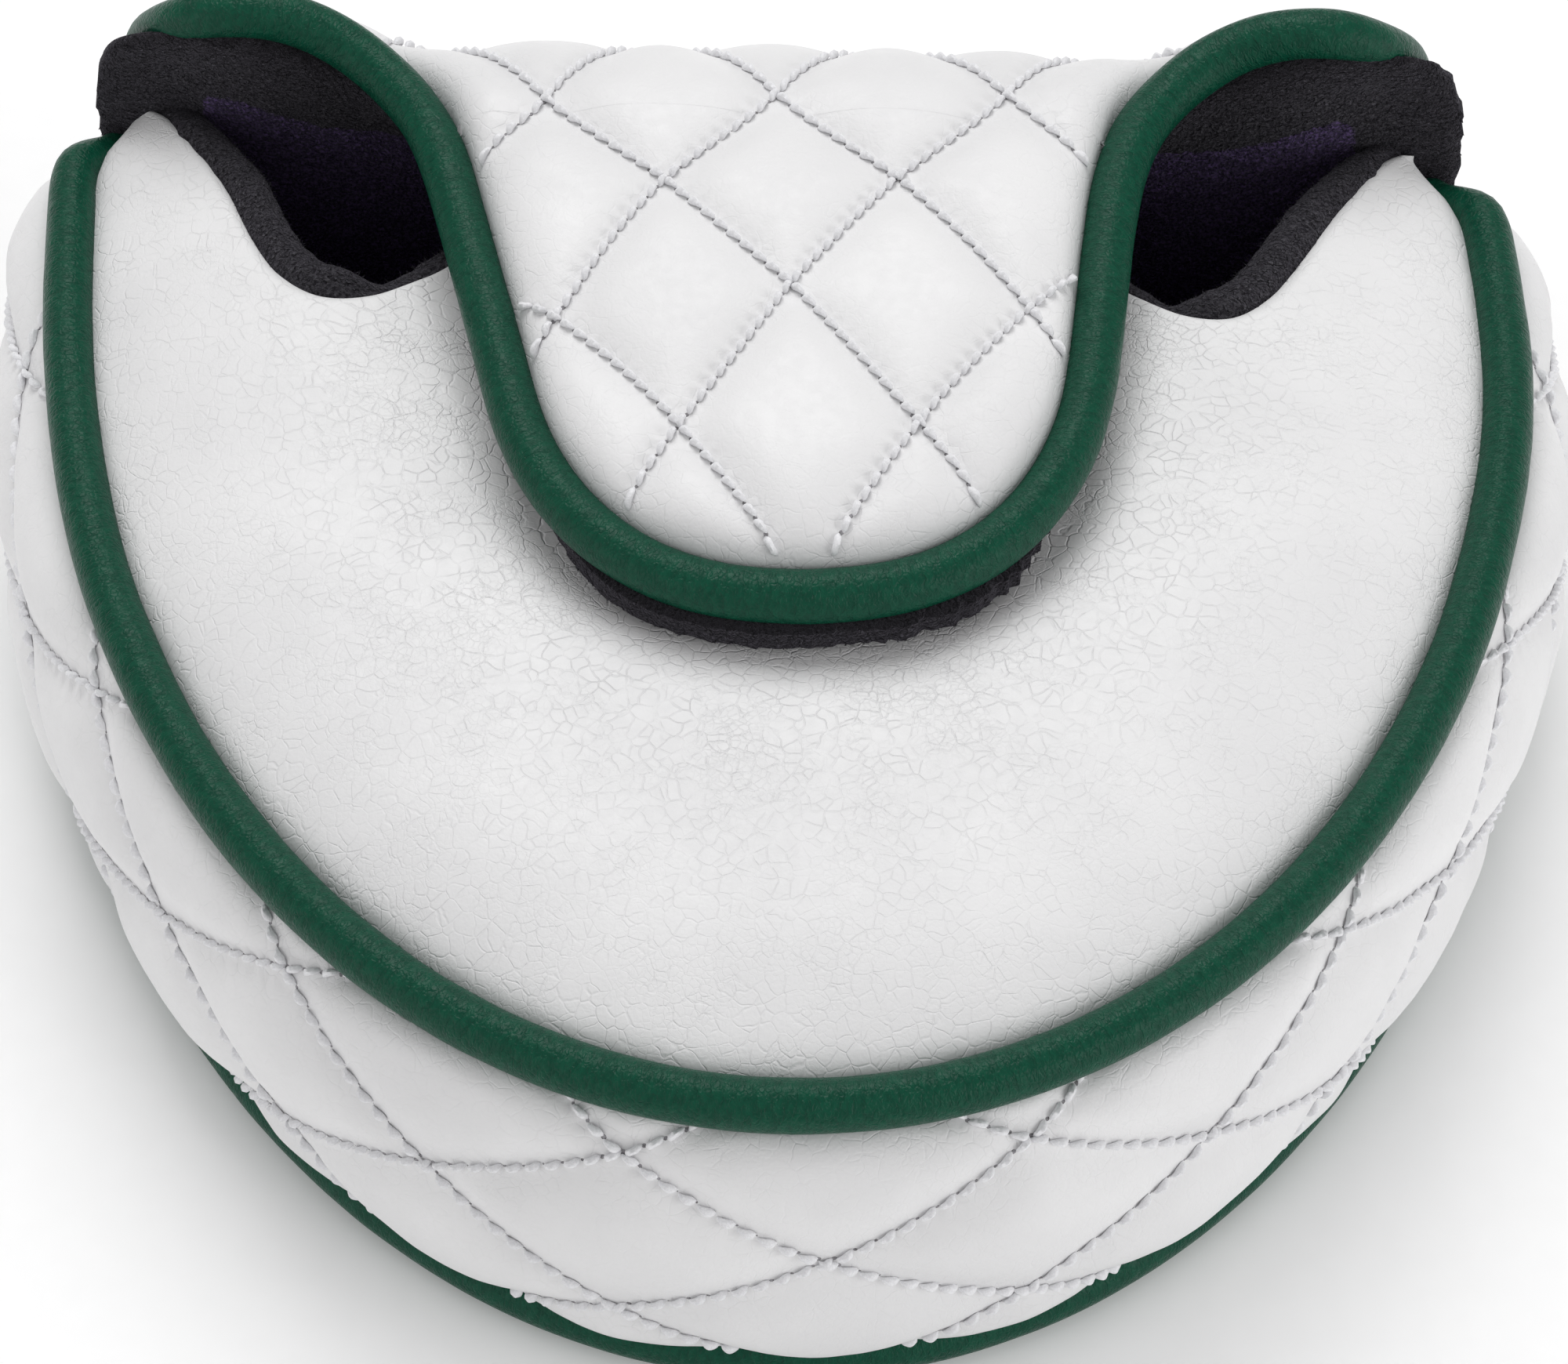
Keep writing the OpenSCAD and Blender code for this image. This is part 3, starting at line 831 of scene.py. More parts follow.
def surface_at(place, flat, step, outward=1):
    """Spots on a surface and their normals, from a function of flat places."""
    first = place(flat + [step, 0]) - place(flat - [step, 0])
    second = place(flat + [0, step]) - place(flat - [0, step])
    return place(flat), outward * unit(np.cross(first, second))


def quilting(name, parts, holes, rides):
    """Thread and the needle holes' painted shade as one piece."""
    thread_points, thread_faces = join(parts)
    points, faces = join([(thread_points, thread_faces), join(painted_hole_shades(holes))])
    piece = make_piece(name, points, faces, MATERIALS["thread"])
    piece.data.materials.append(MATERIALS["painted_hole_shade"])
    index = np.zeros(len(piece.data.polygons), np.int32)
    index[len(thread_faces):] = 1
    piece.data.polygons.foreach_set("material_index", index)
    finish_piece(piece, rides, "quilting_thread")


# ---------- materials ----------

def put(tree, socket, value):
    """Give a node's input a value, or link another node's output to it."""
    if isinstance(value, bpy.types.NodeSocket):
        tree.links.new(value, socket)
    else:
        socket.default_value = value


def node(tree, kind, settings=None, **inputs):
    made = tree.nodes.new(kind)
    for key, value in (settings or {}).items():
        setattr(made, key, value)
    for key, value in inputs.items():
        put(tree, made.inputs[key.replace("_", " ")], value)
    return made


def new_material(name):
    material = bpy.data.materials.new(name)
    material.use_nodes = True
    return material, material.node_tree


def shade(material, **inputs):
    """Set what a material's shader takes in."""
    tree = material.node_tree
    for key, value in inputs.items():
        put(tree, tree.nodes["Principled BSDF"].inputs[key.replace("_", " ")], value)
    return material


def attribute(tree, name, socket="Fac"):
    return node(tree, "ShaderNodeAttribute", {"attribute_name": name}).outputs[socket]


def made_place(tree):
    """A made piece's resting place in millimetres, before its lean."""
    return attribute(tree, "rest_mm", "Vector")


def object_place(tree):
    """A place in metres on an object that has no resting layer."""
    return node(tree, "ShaderNodeTexCoord").outputs["Object"]


def packed_place(tree):
    """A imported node's place in millimetres."""
    return scaled(tree, object_place(tree), 1 / MM)


def maths(tree, operation, a, b, kind="ShaderNodeMath"):
    made = node(tree, kind, {"operation": operation})
    put(tree, made.inputs[0], a)
    put(tree, made.inputs[1], b)
    return made.outputs[0]


def times(tree, a, b):
    return maths(tree, "MULTIPLY", a, b)


def scaled(tree, vector, amount):
    return maths(tree, "MULTIPLY", vector, (amount,) * 3, "ShaderNodeVectorMath")


def remap(tree, value, low, high, to_low=0.0, to_high=1.0):
    limits = {"From_Min": low, "From_Max": high, "To_Min": to_low, "To_Max": to_high}
    made = node(tree, "ShaderNodeMapRange", {"interpolation_type": "SMOOTHSTEP"}, Value=value, **limits)
    return made.outputs["Result"]


def blend_colours(tree, share, a, b):
    made = node(tree, "ShaderNodeMix", {"data_type": "RGBA"})
    tree.links.new(share, made.inputs[0])
    for k, colour in ((6, a), (7, b)):
        put(tree, made.inputs[k], (*colour, 1) if isinstance(colour, tuple) else colour)
    return made.outputs[2]


def two_tone(tree, value, low, high, a, b):
    """One colour where a value is low, and another where it is high."""
    return blend_colours(tree, remap(tree, value, low, high), a, b)


def noise_at(tree, vector, per_mm, detail=3.0, socket="Fac"):
    made = node(tree, "ShaderNodeTexNoise", Vector=vector, Scale=per_mm, Detail=detail)
    return made.outputs[socket]


def cells_at(tree, vector, per_mm, feature="DISTANCE_TO_EDGE"):
    made = node(tree, "ShaderNodeTexVoronoi", {"feature": feature}, Vector=vector, Scale=per_mm)
    return made.outputs["Distance"]


def shifted(tree, vector, per_mm, amount):
    """A vector moved about by noise, so that cells aren't straight-edged."""
    wander = noise_at(tree, vector, per_mm, 2.0, "Color")
    centred = maths(tree, "SUBTRACT", wander, (0.5, 0.5, 0.5), "ShaderNodeVectorMath")
    return maths(tree, "ADD", vector, scaled(tree, centred, amount), "ShaderNodeVectorMath")


def bumps(tree, *layers):
    """Bumps on bumps: each layer is a height and its depth in millimetres, the lowest first."""
    normal = None
    for height, depth_mm in layers:
        made = node(tree, "ShaderNodeBump", Height=height, Distance=depth_mm * MM, Strength=1.0)
        if normal is not None:
            tree.links.new(normal, made.inputs["Normal"])
        normal = made.outputs["Normal"]
    return normal


def white_leather(name, crease_mm):
    """Coated leather: fine grain all over, and creases where the crease layer says."""
    material, tree = new_material(name)
    rest = made_place(tree)
    crease = attribute(tree, "crease")
    big = remap(tree, cells_at(tree, shifted(tree, rest, 0.35, 1.8), 0.72), 0.0, 0.075)
    small = remap(tree, cells_at(tree, shifted(tree, rest, 0.8, 0.8), 1.5), 0.0, 0.11)
    patchy = remap(tree, noise_at(tree, rest, 0.16, 2.0), 0.35, 0.68)
    broken = remap(tree, noise_at(tree, rest, 0.45), 0.36, 0.58, 0.35)
    big_low = times(tree, times(tree, maths(tree, "SUBTRACT", 1.0, big), crease), broken)
    small_low = times(tree, times(tree, maths(tree, "SUBTRACT", 1.0, small), crease), patchy)
    lines = maths(tree, "ADD", big_low, times(tree, small_low, 0.55))
    grain = maths(tree, "ADD", cells_at(tree, rest, 2.6, "F1"), noise_at(tree, rest, 5.0))
    colour = two_tone(tree, noise_at(tree, rest, 0.05), 0.3, 0.7, WHITE, WHITE_SHADE)
    # Greyer along the crease lines, where the bump sinks
    colour = blend_colours(tree, remap(tree, lines, 0.1, 1.0, 0.0, 0.14), colour, WHITE_IN_CREASES)
    # Painted shade: greyer along the seams and stitch lines, where the seam_shade layer says
    colour = blend_colours(tree, attribute(tree, "seam_shade"), colour, WHITE_SEAM_SHADE)
    return shade(
        material,
        Base_Color=colour,
        Normal=bumps(tree, (grain, 0.016), (times(tree, lines, -1.0), crease_mm)),
        Roughness=remap(tree, noise_at(tree, rest, 0.9, 4.0), 0.3, 0.7, 0.42, 0.56),
        Specular_IOR_Level=0.42,
    )


def green_leather():
    """Satin leather wrapped round a cord: fine wrinkles run across it."""
    material, tree = new_material("piping_leather")
    rest = made_place(tree)
    wrap = node(tree, "ShaderNodeCombineXYZ")
    for k, (layer, per_mm) in enumerate((("along", 2.0), ("round_x", 2.6), ("round_y", 2.6))):
        tree.links.new(times(tree, attribute(tree, layer), per_mm), wrap.inputs[k])
    bent = shifted(tree, wrap.outputs[0], 0.9, 1.1)
    ridges = noise_at(tree, bent, 0.9, 4.0)
    cells = remap(tree, cells_at(tree, bent, 1.3), 0.0, 0.25)
    return shade(
        material,
        Base_Color=two_tone(tree, ridges, 0.35, 0.65, GREEN_SHADE, GREEN),
        Normal=bumps(tree, (noise_at(tree, rest, 5.5), 0.02), (ridges, 0.15), (cells, 0.035)),
        Roughness=remap(tree, noise_at(tree, rest, 1.3, 4.0), 0.3, 0.7, 0.31, 0.42),
        Specular_IOR_Level=0.17,
    )


def fleece():
    """Charcoal fleece that turns into a darker, shorter velour where the velour layer says."""
    material, tree = new_material("fleece")
    rest = made_place(tree)
    ragged = times(tree, maths(tree, "SUBTRACT", noise_at(tree, rest, 0.9, 4.0), 0.5), 0.9)
    share = remap(tree, maths(tree, "ADD", attribute(tree, "velour"), ragged), 0.42, 0.58)
    speckle = remap(tree, noise_at(tree, rest, 3.6, 6.0), 0.38, 0.62)
    knobs = remap(tree, cells_at(tree, shifted(tree, rest, 1.3, 0.7), 1.7, "F1"), 0.1, 0.75)
    fleecy = blend_colours(tree, speckle, CHARCOAL_SHADE, CHARCOAL)
    # Darker in the hollows between the knobs, and painted shade at the lining's outer edge, under the
    # piping
    for darker, by in ((knobs, 0.45), (attribute(tree, "edge_shade"), 0.75)):
        fleecy = blend_colours(tree, times(tree, darker, by), fleecy, CHARCOAL_SHADE)
    deep = blend_colours(tree, speckle, VELOUR_SHADE, VELOUR)
    return shade(
        material,
        Base_Color=blend_colours(tree, share, fleecy, deep),
        Normal=bumps(tree, (times(tree, knobs, -1.0), 0.26), (speckle, 0.20)),
        Roughness=0.95,
        Specular_IOR_Level=0.15,
        Sheen_Weight=0.25,
        Sheen_Roughness=0.55,
        Sheen_Tint=SHEEN,
    )


def thread():
    material, tree = new_material("quilting_thread")
    rest = made_place(tree)
    return shade(
        material,
        Base_Color=two_tone(tree, noise_at(tree, rest, 6.0), 0.3, 0.7, THREAD_SHADE, THREAD),
        Normal=bumps(tree, (noise_at(tree, rest, 9.0, 2.0), 0.03)),
        Roughness=0.42,
        Specular_IOR_Level=0.5,
        Sheen_Weight=0.2,
    )


def painted_hole_shade():
    material, tree = new_material("painted_hole_shade")
    # Painted shade in the needle holes, in two dark tones
    shade_tone = noise_at(tree, made_place(tree), 3.0, 2.0)
    return shade(material, Base_Color=two_tone(tree, shade_tone, 0.3, 0.7, HOLE_SHADE, PAINTED_HOLE_SHADE), Roughness=0.8)


def foam():
    material, tree = new_material("foam")
    pores = remap(tree, cells_at(tree, made_place(tree), 1.6, "F1"), 0.1, 0.5)
    colour = blend_colours(tree, pores, FOAM_SHADE, FOAM)
    return shade(material, Base_Color=colour, Normal=bumps(tree, (pores, 0.3)), Roughness=0.95)


def cotton(name, place):
    """Cotton strands, laid out by a function that gives a place in millimetres."""
    material, tree = new_material(name)
    strands = noise_at(tree, place(tree), 2.2, 4.0)
    colour = two_tone(tree, strands, 0.3, 0.7, COTTON_SHADE, COTTON)
    return shade(material, Base_Color=colour, Normal=bumps(tree, (strands, 0.12)), Roughness=0.9)


def nickel():
    material, tree = new_material("magnet_metal")
    scratches = noise_at(tree, object_place(tree), 900.0, 5.0)
    return shade(
        material,
        Base_Color=two_tone(tree, scratches, 0.35, 0.65, NICKEL_SHADE, NICKEL),
        Roughness=remap(tree, scratches, 0.3, 0.7, 0.22, 0.38),
        Metallic=1.0,
    )


def paper_floor():
    material, tree = new_material("floor")
    tooth = noise_at(tree, object_place(tree), 400.0)
    return shade(
        material,
        Base_Color=two_tone(tree, tooth, 0.3, 0.7, PAPER_SHADE, PAPER),
        Emission_Color=(1, 1, 1, 1),
        Emission_Strength=0.10,
        Roughness=0.9,
        Specular_IOR_Level=0.1,
    )


MATERIALS = {
    "panel": white_leather("smooth_leather", 0.085),
    "quilt": white_leather("quilted_leather", 0.045),
    "piping": green_leather(),
    "fleece": fleece(),
    "thread": thread(),
    "painted_hole_shade": painted_hole_shade(),
    "foam": foam(),
    "cotton": cotton("filler_cord", made_place),
    "cup_cloth": cotton("magnet_cloth", packed_place),
    "nickel": nickel(),
    "floor": paper_floor(),
}


# ---------- how pieces ride ----------

# Two points at the foot, between pocket and riser, and two at the fold, between riser and tongue; no piece
# bends about them
FOOT_BLEND = ((0, 0.0500, 0.0003), (0, 0.0562, 0.0065))
FOLD_BLEND = ((0, 0.0465, FOLD_TOP * MM), (0, 0.0355, FOLD_TOP * MM))


def on_pocket(piece):
    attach(piece, "pocket")


def on_foot(piece):
    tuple(FOOT_BLEND[0])
    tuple(FOOT_BLEND[1])
    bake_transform(piece)


def on_fold(piece):
    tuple(FOLD_BLEND[0])
    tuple(FOLD_BLEND[1])
    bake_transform(piece)


def finish_piece(piece, rides, slot, *nodes, fill=None):
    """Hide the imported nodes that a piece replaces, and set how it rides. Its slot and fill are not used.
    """
    if nodes:
        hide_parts(*nodes)
    rides(piece)


# ---------- the pieces ----------

SIDES = ((-1, "left"), (1, "right"))
# How much of the linings inside the pocket is velour
LINING_VELOUR = 0.9
# A fleece roll's sides, and its fibres for each millimetre of length
ROLL_SIDES = 22
ROLL_FIBRES = 42
PIPING_SIDES = 28
CORD_SIDES = 12


def leather_piece(name, outer, inner, crease, seam, material):
    points, faces = shell(outer, inner)
    inside = np.zeros(inner[..., 0].size)
    # seam is painted shade along the seams and stitch lines; the inner face gets none
    tints = {
        "crease": np.concatenate([np.clip(crease, 0, 1).ravel(), inside]),
        "seam_shade": np.concatenate([seam.ravel(), inside]),
    }
    return make_piece(name, points, faces, MATERIALS[material], tints)


def foam_piece(name, outer, inner):
    points, faces = shell(outer, inner)
    return make_piece(name, points, faces, MATERIALS["foam"])


def fuzzy_piece(name, outer, inner, velour, seed, per_mm2, edge_shade=0):
    """A fleece sheet: its outer face is knobbly and carries fibres."""
    knobs = 0.10 * lumps(outer, 0.9, seed) + 0.10 * lumps(outer, 2.1, seed + 1)
    face = outer + grid_normals(outer) * knobs[..., None]
    quads = grid_faces(*face.shape[:2])
    flat = face.reshape(-1, 3)
    area = 0.5 * np.linalg.norm(quad_normals(flat, quads), axis=1).sum()
    spots, ways, corner = scatter(flat, quads, int(area * per_mm2), seed)
    points, faces = join([shell(face, inner), fibres(spots, ways, seed)])
    tints = {}
    for key, share in (("velour", velour), ("edge_shade", edge_shade)):
        values = (share + 0 * outer[..., 0]).ravel()
        tints[key] = np.concatenate([values, values, np.repeat(values[corner], 4)])
    return make_piece(name, points, faces, MATERIALS["fleece"], tints)


def fuzzy_roll(name, path, radius, seed):
    """A rolled fleece edge."""
    points, faces, _ = tube(path, radius, ROLL_SIDES)
    quads = np.array([f for f in faces if len(f) == 4])
    ways = unit(quad_normals(points, quads))
    normals = np.zeros_like(points)
    for k in range(4):
        np.add.at(normals, quads[:, k], ways)
    knobs = 0.12 * lumps(points, 0.9, seed) + 0.16 * lumps(points, 2.0, seed + 1)
    points = points + unit(normals) * knobs[:, None]
    spots, ways, _ = scatter(points, quads, int(line_lengths(path)[-1] * ROLL_FIBRES), seed)
    both, all_faces = join([(points, faces), fibres(spots, ways, seed)])
    tints = {key: np.zeros(len(both)) for key in ("velour", "edge_shade")}
    return make_piece(name, both, all_faces, MATERIALS["fleece"], tints)


def piping(name, path, rides, *nodes):
    """Leather piping: a round-ended tube with slight unevenness."""
    wobble = 1 + 0.018 * lumps(path, 4.0)
    points, faces, tints = tube(path, PIPING_R * wobble, PIPING_SIDES)
    piece = make_piece(name, points, faces, MATERIALS["piping"], tints)
    finish_piece(piece, rides, "piping_leather", *nodes)


def filler_cord(name, path, rides, *nodes):
    """The twisted cord inside a piping."""
    points, faces, tints = tube(path, CORD_R, CORD_SIDES)
    piece = make_piece(name, points, faces, MATERIALS["cotton"], tints)
    finish_piece(piece, rides, "filler_cord", *nodes)


def hidden_layers(part, surface, outside, seed):
    """A pocket part's foam and lining, from a function that gives its surface at a depth."""
    outer, middle, inner = (surface(depth) for depth in (outside, D_FOAM, D_ALL))
    padding = foam_piece(f"{part}_padding", outer, middle)
    finish_piece(padding, on_pocket, "padding", f"{part}_foam", fill=0.8)
    lining = fuzzy_piece(f"{part}_fleece", inner[:, ::-1], middle[:, ::-1], LINING_VELOUR, seed, 0.35)
    finish_piece(lining, on_pocket, "fleece", f"{part}_lining")


def beyond_tongue(plan):
    """How far points of the top panel lie outside the tongue's edge, seen from above."""
    edge = resample(tongue_edge(even_inset(0)), 40) - [0, HINGE_S]
    right = np.stack([edge[:, 0], HINGE_Y - edge[:, 1]], -1)
    line = np.concatenate([right, (right * [-1, 1])[::-1]])
    under = is_inside(plan.reshape(-1, 2), line).reshape(plan.shape[:-1])
    return np.where(under, 0, outline_distance(plan, line))


def build_top():
    u, t = grid_of(np.linspace(-1, 1, 360), np.linspace(0, 1, 84))
    # Its rows are closer together near both edges
    w = 0.55 * (0.5 - 0.5 * np.cos(math.pi * t)) + 0.45 * t**1.2
    base = panel_at(u, w, 0 * u)
    start = seam_at(u, -panel_inset(u, 0))
    width = np.linalg.norm(mouth_at(u) - start, axis=-1)
    # The horns' tips are round
    tip_r = 4.2
    half_seam = 150
    tip_gone = np.clip(1 - (1 - abs(u)) * half_seam / tip_r, 0, 1)
    pinch = np.sqrt(np.maximum(1 - tip_gone**2, 0.0))
    middle = (start + mouth_at(u)) / 2
    plan = middle + (base[..., :2] - middle) * np.where(tip_gone > 0, pinch, 1)[..., None]
    base = with_z(plan, base[..., 2])
    # The edge at the mouth is rolled over
    edge_r = 1.6
    to_mouth = (1 - w) * width
    over = np.clip(1 - to_mouth / edge_r, 0, 1)
    drop = edge_r * (1 - np.sqrt(np.maximum(1 - over**2, 0)))
    tip_drop = 0.3 * (1 - pinch)
    from_tongue = beyond_tongue(base[..., :2])
    press = 1.3 * np.exp(-(from_tongue / 4.5) ** 2)
    seam_dist = w * width
    ripple = 0.16 * lumps(base, 2.6, 21) * np.exp(-seam_dist / 2.2)
    waves = 0.25 * lumps(base, 16, 22) + 0.07 * lumps(base, 5, 23)
    inner_share = np.clip(seam_dist / 4, 0, 1)
    outer = base.copy()
    outer[..., 2] += -drop - tip_drop - press + ripple + waves * inner_share
    normals = grid_normals(outer)
    normals *= np.sign(normals[..., 2:].mean())
    normals = unit(lerp(normals, np.array([0.0, 0.0, 1.0]), smooth(0, 0.5, tip_gone)[..., None]))
    inner = outer - T_SKIN * normals
    crease = 0.25 + 0.75 * np.exp(-from_tongue / 10) + 0.25 * np.exp(-seam_dist / 8)
    # Painted shade along the panel's seam
    seam = 0.5 * np.exp(-seam_dist / 0.5)
    piece = leather_piece("top_panel_leather", outer, inner, crease, seam, "panel")
    finish_piece(piece, on_pocket, "smooth_leather", "top_skin", fill=0.8)


def panel_layer(depth):
    """The plain top panel at a depth, a little below the leather's."""
    u, t = grid_of(np.linspace(-0.985, 0.985, 140), np.linspace(0, 0.94, 26))
    return panel_at(u, t**1.3, 0 * u + depth) - [0, 0, 0.5]


def build_mouth_roll():
    count = 420
    u = np.linspace(-0.998, 0.998, count)
    edge = mouth_at(u)
    heading = unit(np.gradient(edge, axis=0))
    out = np.stack([-heading[:, 1], heading[:, 0]], -1)
    z = panel_height(np.linalg.norm(edge - seam_at(u, -panel_inset(u, 0)), axis=-1))
    taper = smooth(0, 0.10, 1 - abs(u))
    # Nearer the tongue the roll is tucked under the panel's edge
    tucked = smooth(37, 31, abs(edge[:, 0]))
    plan = edge + out * (lerp(0.2, 1.5, taper) - 1.5 * tucked)[:, None]
    path = resample(with_z(plan, z - 2.1 - 1.8 * tucked), count)
    piece = fuzzy_roll("mouth_fleece_roll", path, lerp(1.6, 2.3, taper), 41)
    finish_piece(piece, on_pocket, "fleece", "mouth_roll")


def build_wall():
    u, v = grid_of(np.linspace(-WALL_END, WALL_END, 620), np.linspace(0, 1, 62))
    outer = wall_at(u, v, wall_depth(u, v))
    inner = wall_at(u, v, 0 * u + T_SKIN)
    a, h, edge = wall_lengths(u, v)
    near = np.minimum(*wall_lines(a, h))
    crease = 0.18 + 0.35 * np.exp(-near / 2.5) + 0.5 * np.exp(-edge / 3)
    # Painted shade along the stitch lines and the wall's seams
    seam = 0.10 * np.exp(-near / 0.5) + 0.5 * np.exp(-edge / 0.5)
    piece = leather_piece("gusset_leather", outer, inner, crease, seam, "quilt")
    finish_piece(piece, on_pocket, "quilted_leather", "gusset_skin", fill=0.7)


def wall_layer(depth):
    """The plain side wall at a depth."""
    u, v = grid_of(np.linspace(-WALL_END, WALL_END, 220), np.linspace(0.02, 0.97, 24))
    return wall_at(u, v, 0 * u + depth)


def wall_surface(flat):
    """Spots and normals on the quilted wall, from lengths along it and up it."""
    def place(p):
        u = np.interp(p[:, 0], WALL_A, WALL_U)
        v = np.interp(p[:, 1], WALL_H, WALL_V)
        return wall_at(u, v, wall_depth(u, v))
    return surface_at(place, flat, 0.6)


def build_wall_quilting():
    slope = DIAMOND_H / DIAMOND_W
    h = np.linspace(2.2, WALL_H[-1] - 0.9, 160)
    reach = np.interp(WALL_END, WALL_U, WALL_A)
    turns = int(reach / DIAMOND_W) + 2
    lines = []
    for k in range(-turns, turns + 1):
        for slant in (-1, 1):
            a = DIAMOND_A0 + k * DIAMOND_W + slant * (h - DIAMOND_H0) / slope
            line = np.stack([a, h], -1)[abs(a) < reach - 1.6]
            if len(line) > 6:
                lines.append(line)
    quilting("gusset_quilting", *sew(lines, wall_surface, WALL_PITCH), on_pocket)


def build_wall_rolls():
    for side, name in SIDES:
        t = np.linspace(0.03, 0.93, 60)
        path = wall_at(side * WALL_END + 0 * t, t, MID_DEPTH + 0 * t) + [0, 1.3, 0]
        piece = fuzzy_roll(f"gusset_fleece_edge_{name}", path, 2.1, 61 + side)
        finish_piece(piece, on_pocket, "fleece", f"gusset_edge_roll_{name}")


def seam_line(out, z, end, dip):
    """A seam's line, resampled, with its two ends turned down and inwards by dip."""
    count = 520
    u = np.linspace(-end, end, count)
    path = resample(with_z(seam_at(u, out(u)), z), count)
    ends = dip * smooth(0.965, 1.0, abs(np.linspace(-1, 1, count)))
    path[:, 2] -= ends
    path[:, 0] -= np.sign(path[:, 0]) * 0.8 * ends
    return path


def build_seam_piping():
    rows = (
        ("top", np.zeros_like, SEAM_Z, seam_end(SIDE_END_Y - 0.6), 2.2),
        ("bottom", flare_at, PIPING_R + SNUG, seam_end(BEND_Y + 1), 0.0),
    )
    for name, out, z, end, dip in rows:
        path = seam_line(out, z, end, dip)
        piping(f"{name}_seam_piping", path, on_pocket, f"{name}_piping")
        filler_cord(f"{name}_seam_piping_cord", path[6:-6], on_pocket, f"{name}_piping_cord")


def bottom_grid(inset, z, cols, rows, past=0.0):
    """A grid over the bottom panel, from its seam to just past the mouth, and distances from the seam."""
    end = seam_end(BEND_Y)
    u, t = grid_of(np.linspace(-end, end, cols), np.linspace(0, 1, rows))
    edge = seam_at(u, flare_at(u) - inset)
    half = abs(edge[0, 0, 0])
    target = np.stack([half * u / end, BEND_Y + past + 0 * u], -1)
    plan = edge + (target - edge) * t[..., None]
    return with_z(plan, z), t * np.linalg.norm(target - edge, axis=-1)


# The bottom's lining goes on under the flap's, so that nothing shows between them when the flap is open,
# and its sides reach under the side wall's lining
LINING_LAP = 1.6


def build_bottom():
    outer, edge = bottom_grid(TUCK_IN, 0.0, 240, 60)
    inner = outer + [0, 0, T_SKIN]
    ripple = 0.2 + 0.2 * lumps(outer, 6, 71)
    outer[..., 2] = np.maximum(ripple * np.exp(-edge / 5), 0) + 0.9 * np.exp(-edge / 0.8)
    outer[..., 2] = np.minimum(outer[..., 2], T_SKIN - 0.3)
    crease = 0.15 + 0.6 * np.exp(-edge / 6)
    # Painted shade along the bottom's seam
    seam = 0.5 * np.exp(-edge / 0.6)
    facing_down = (grid[:, ::-1] for grid in (outer, inner, crease, seam))
    leather = leather_piece("bottom_leather", *facing_down, "panel")
    finish_piece(leather, on_pocket, "smooth_leather", "bottom_skin")
    low, high = (bottom_grid(TUCK_IN, z, 120, 24)[0] for z in (T_SKIN, D_FOAM))
    padding = foam_piece("bottom_padding", high, low)
    finish_piece(padding, on_pocket, "padding", "bottom_foam", fill=0.8)
    low, high = (bottom_grid(D_FOAM, z, 160, 60, LINING_LAP)[0] for z in (D_FOAM, D_ALL))
    lining = fuzzy_piece("bottom_fleece", high, low, LINING_VELOUR, 81, 0.5)
    finish_piece(lining, on_pocket, "fleece", "bottom_lining")


# The flap's lower and upper part meet at this share of its wall's height
FLAP_SPLIT = 0.28


def flap_parts(layer, points, by, inset, rows, cols):
    """A layer's lower and upper part, which share one row.

    rows are the foot's, the wall's and the tongue's. Each part comes with its name, how it rides and
    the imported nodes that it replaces.
    """
    flat = flap_grid(points, by, inset, *rows, cols)
    at = rows[0] + round(FLAP_SPLIT * (rows[1] - 1))
    yield flat[:at + 1], "lower", on_foot, (f"riser_{layer}",)
    yield flat[at:], "upper", on_fold, (f"riser_{layer}", f"tongue_{layer}")


def build_flap_leather():
    parts = flap_parts("skin", SHOULDER_POINTS, TUCK_IN, even_inset(TUCK_IN), (10, 92, 96), 176)
    for part, name, rides, nodes in parts:
        x, s = part[..., 0], part[..., 1]
        edge = outline_distance(part, SKIN_OUTLINE)
        depth = flap_depth(x, s)
        outer = flap_at(x, s, depth)
        outer[..., 2] = np.maximum(outer[..., 2], 0.02)
        inner = flap_at(x, s, np.maximum(depth + T_SKIN, T_SKIN))
        near = np.minimum(*flap_lines(x, s))
        crease = 0.10 + 0.30 * np.exp(-near / 2.0) + 0.55 * np.exp(-edge / 4)
        # Painted shade along the stitch lines and the flap's edge
        seam = 0.10 * np.exp(-near / 0.45) + 0.6 * np.exp(-edge / 0.5)
        piece = leather_piece(f"flap_leather_{name}", outer, inner, crease, seam, "quilt")
        finish_piece(piece, rides, "quilted_leather", *nodes, fill=0.7)


def build_flap_foam():
    parts = flap_parts("foam", SHOULDER_POINTS, FOAM_INSET, even_inset(FOAM_INSET), (6, 44, 40), 80)
    for part, name, rides, nodes in parts:
        x, s = part[..., 0], part[..., 1]
        piece = foam_piece(f"flap_padding_{name}", flap_at(x, s, T_SKIN + 1.3), flap_at(x, s, D_FOAM))
        finish_piece(piece, rides, "padding", *nodes, fill=0.8)


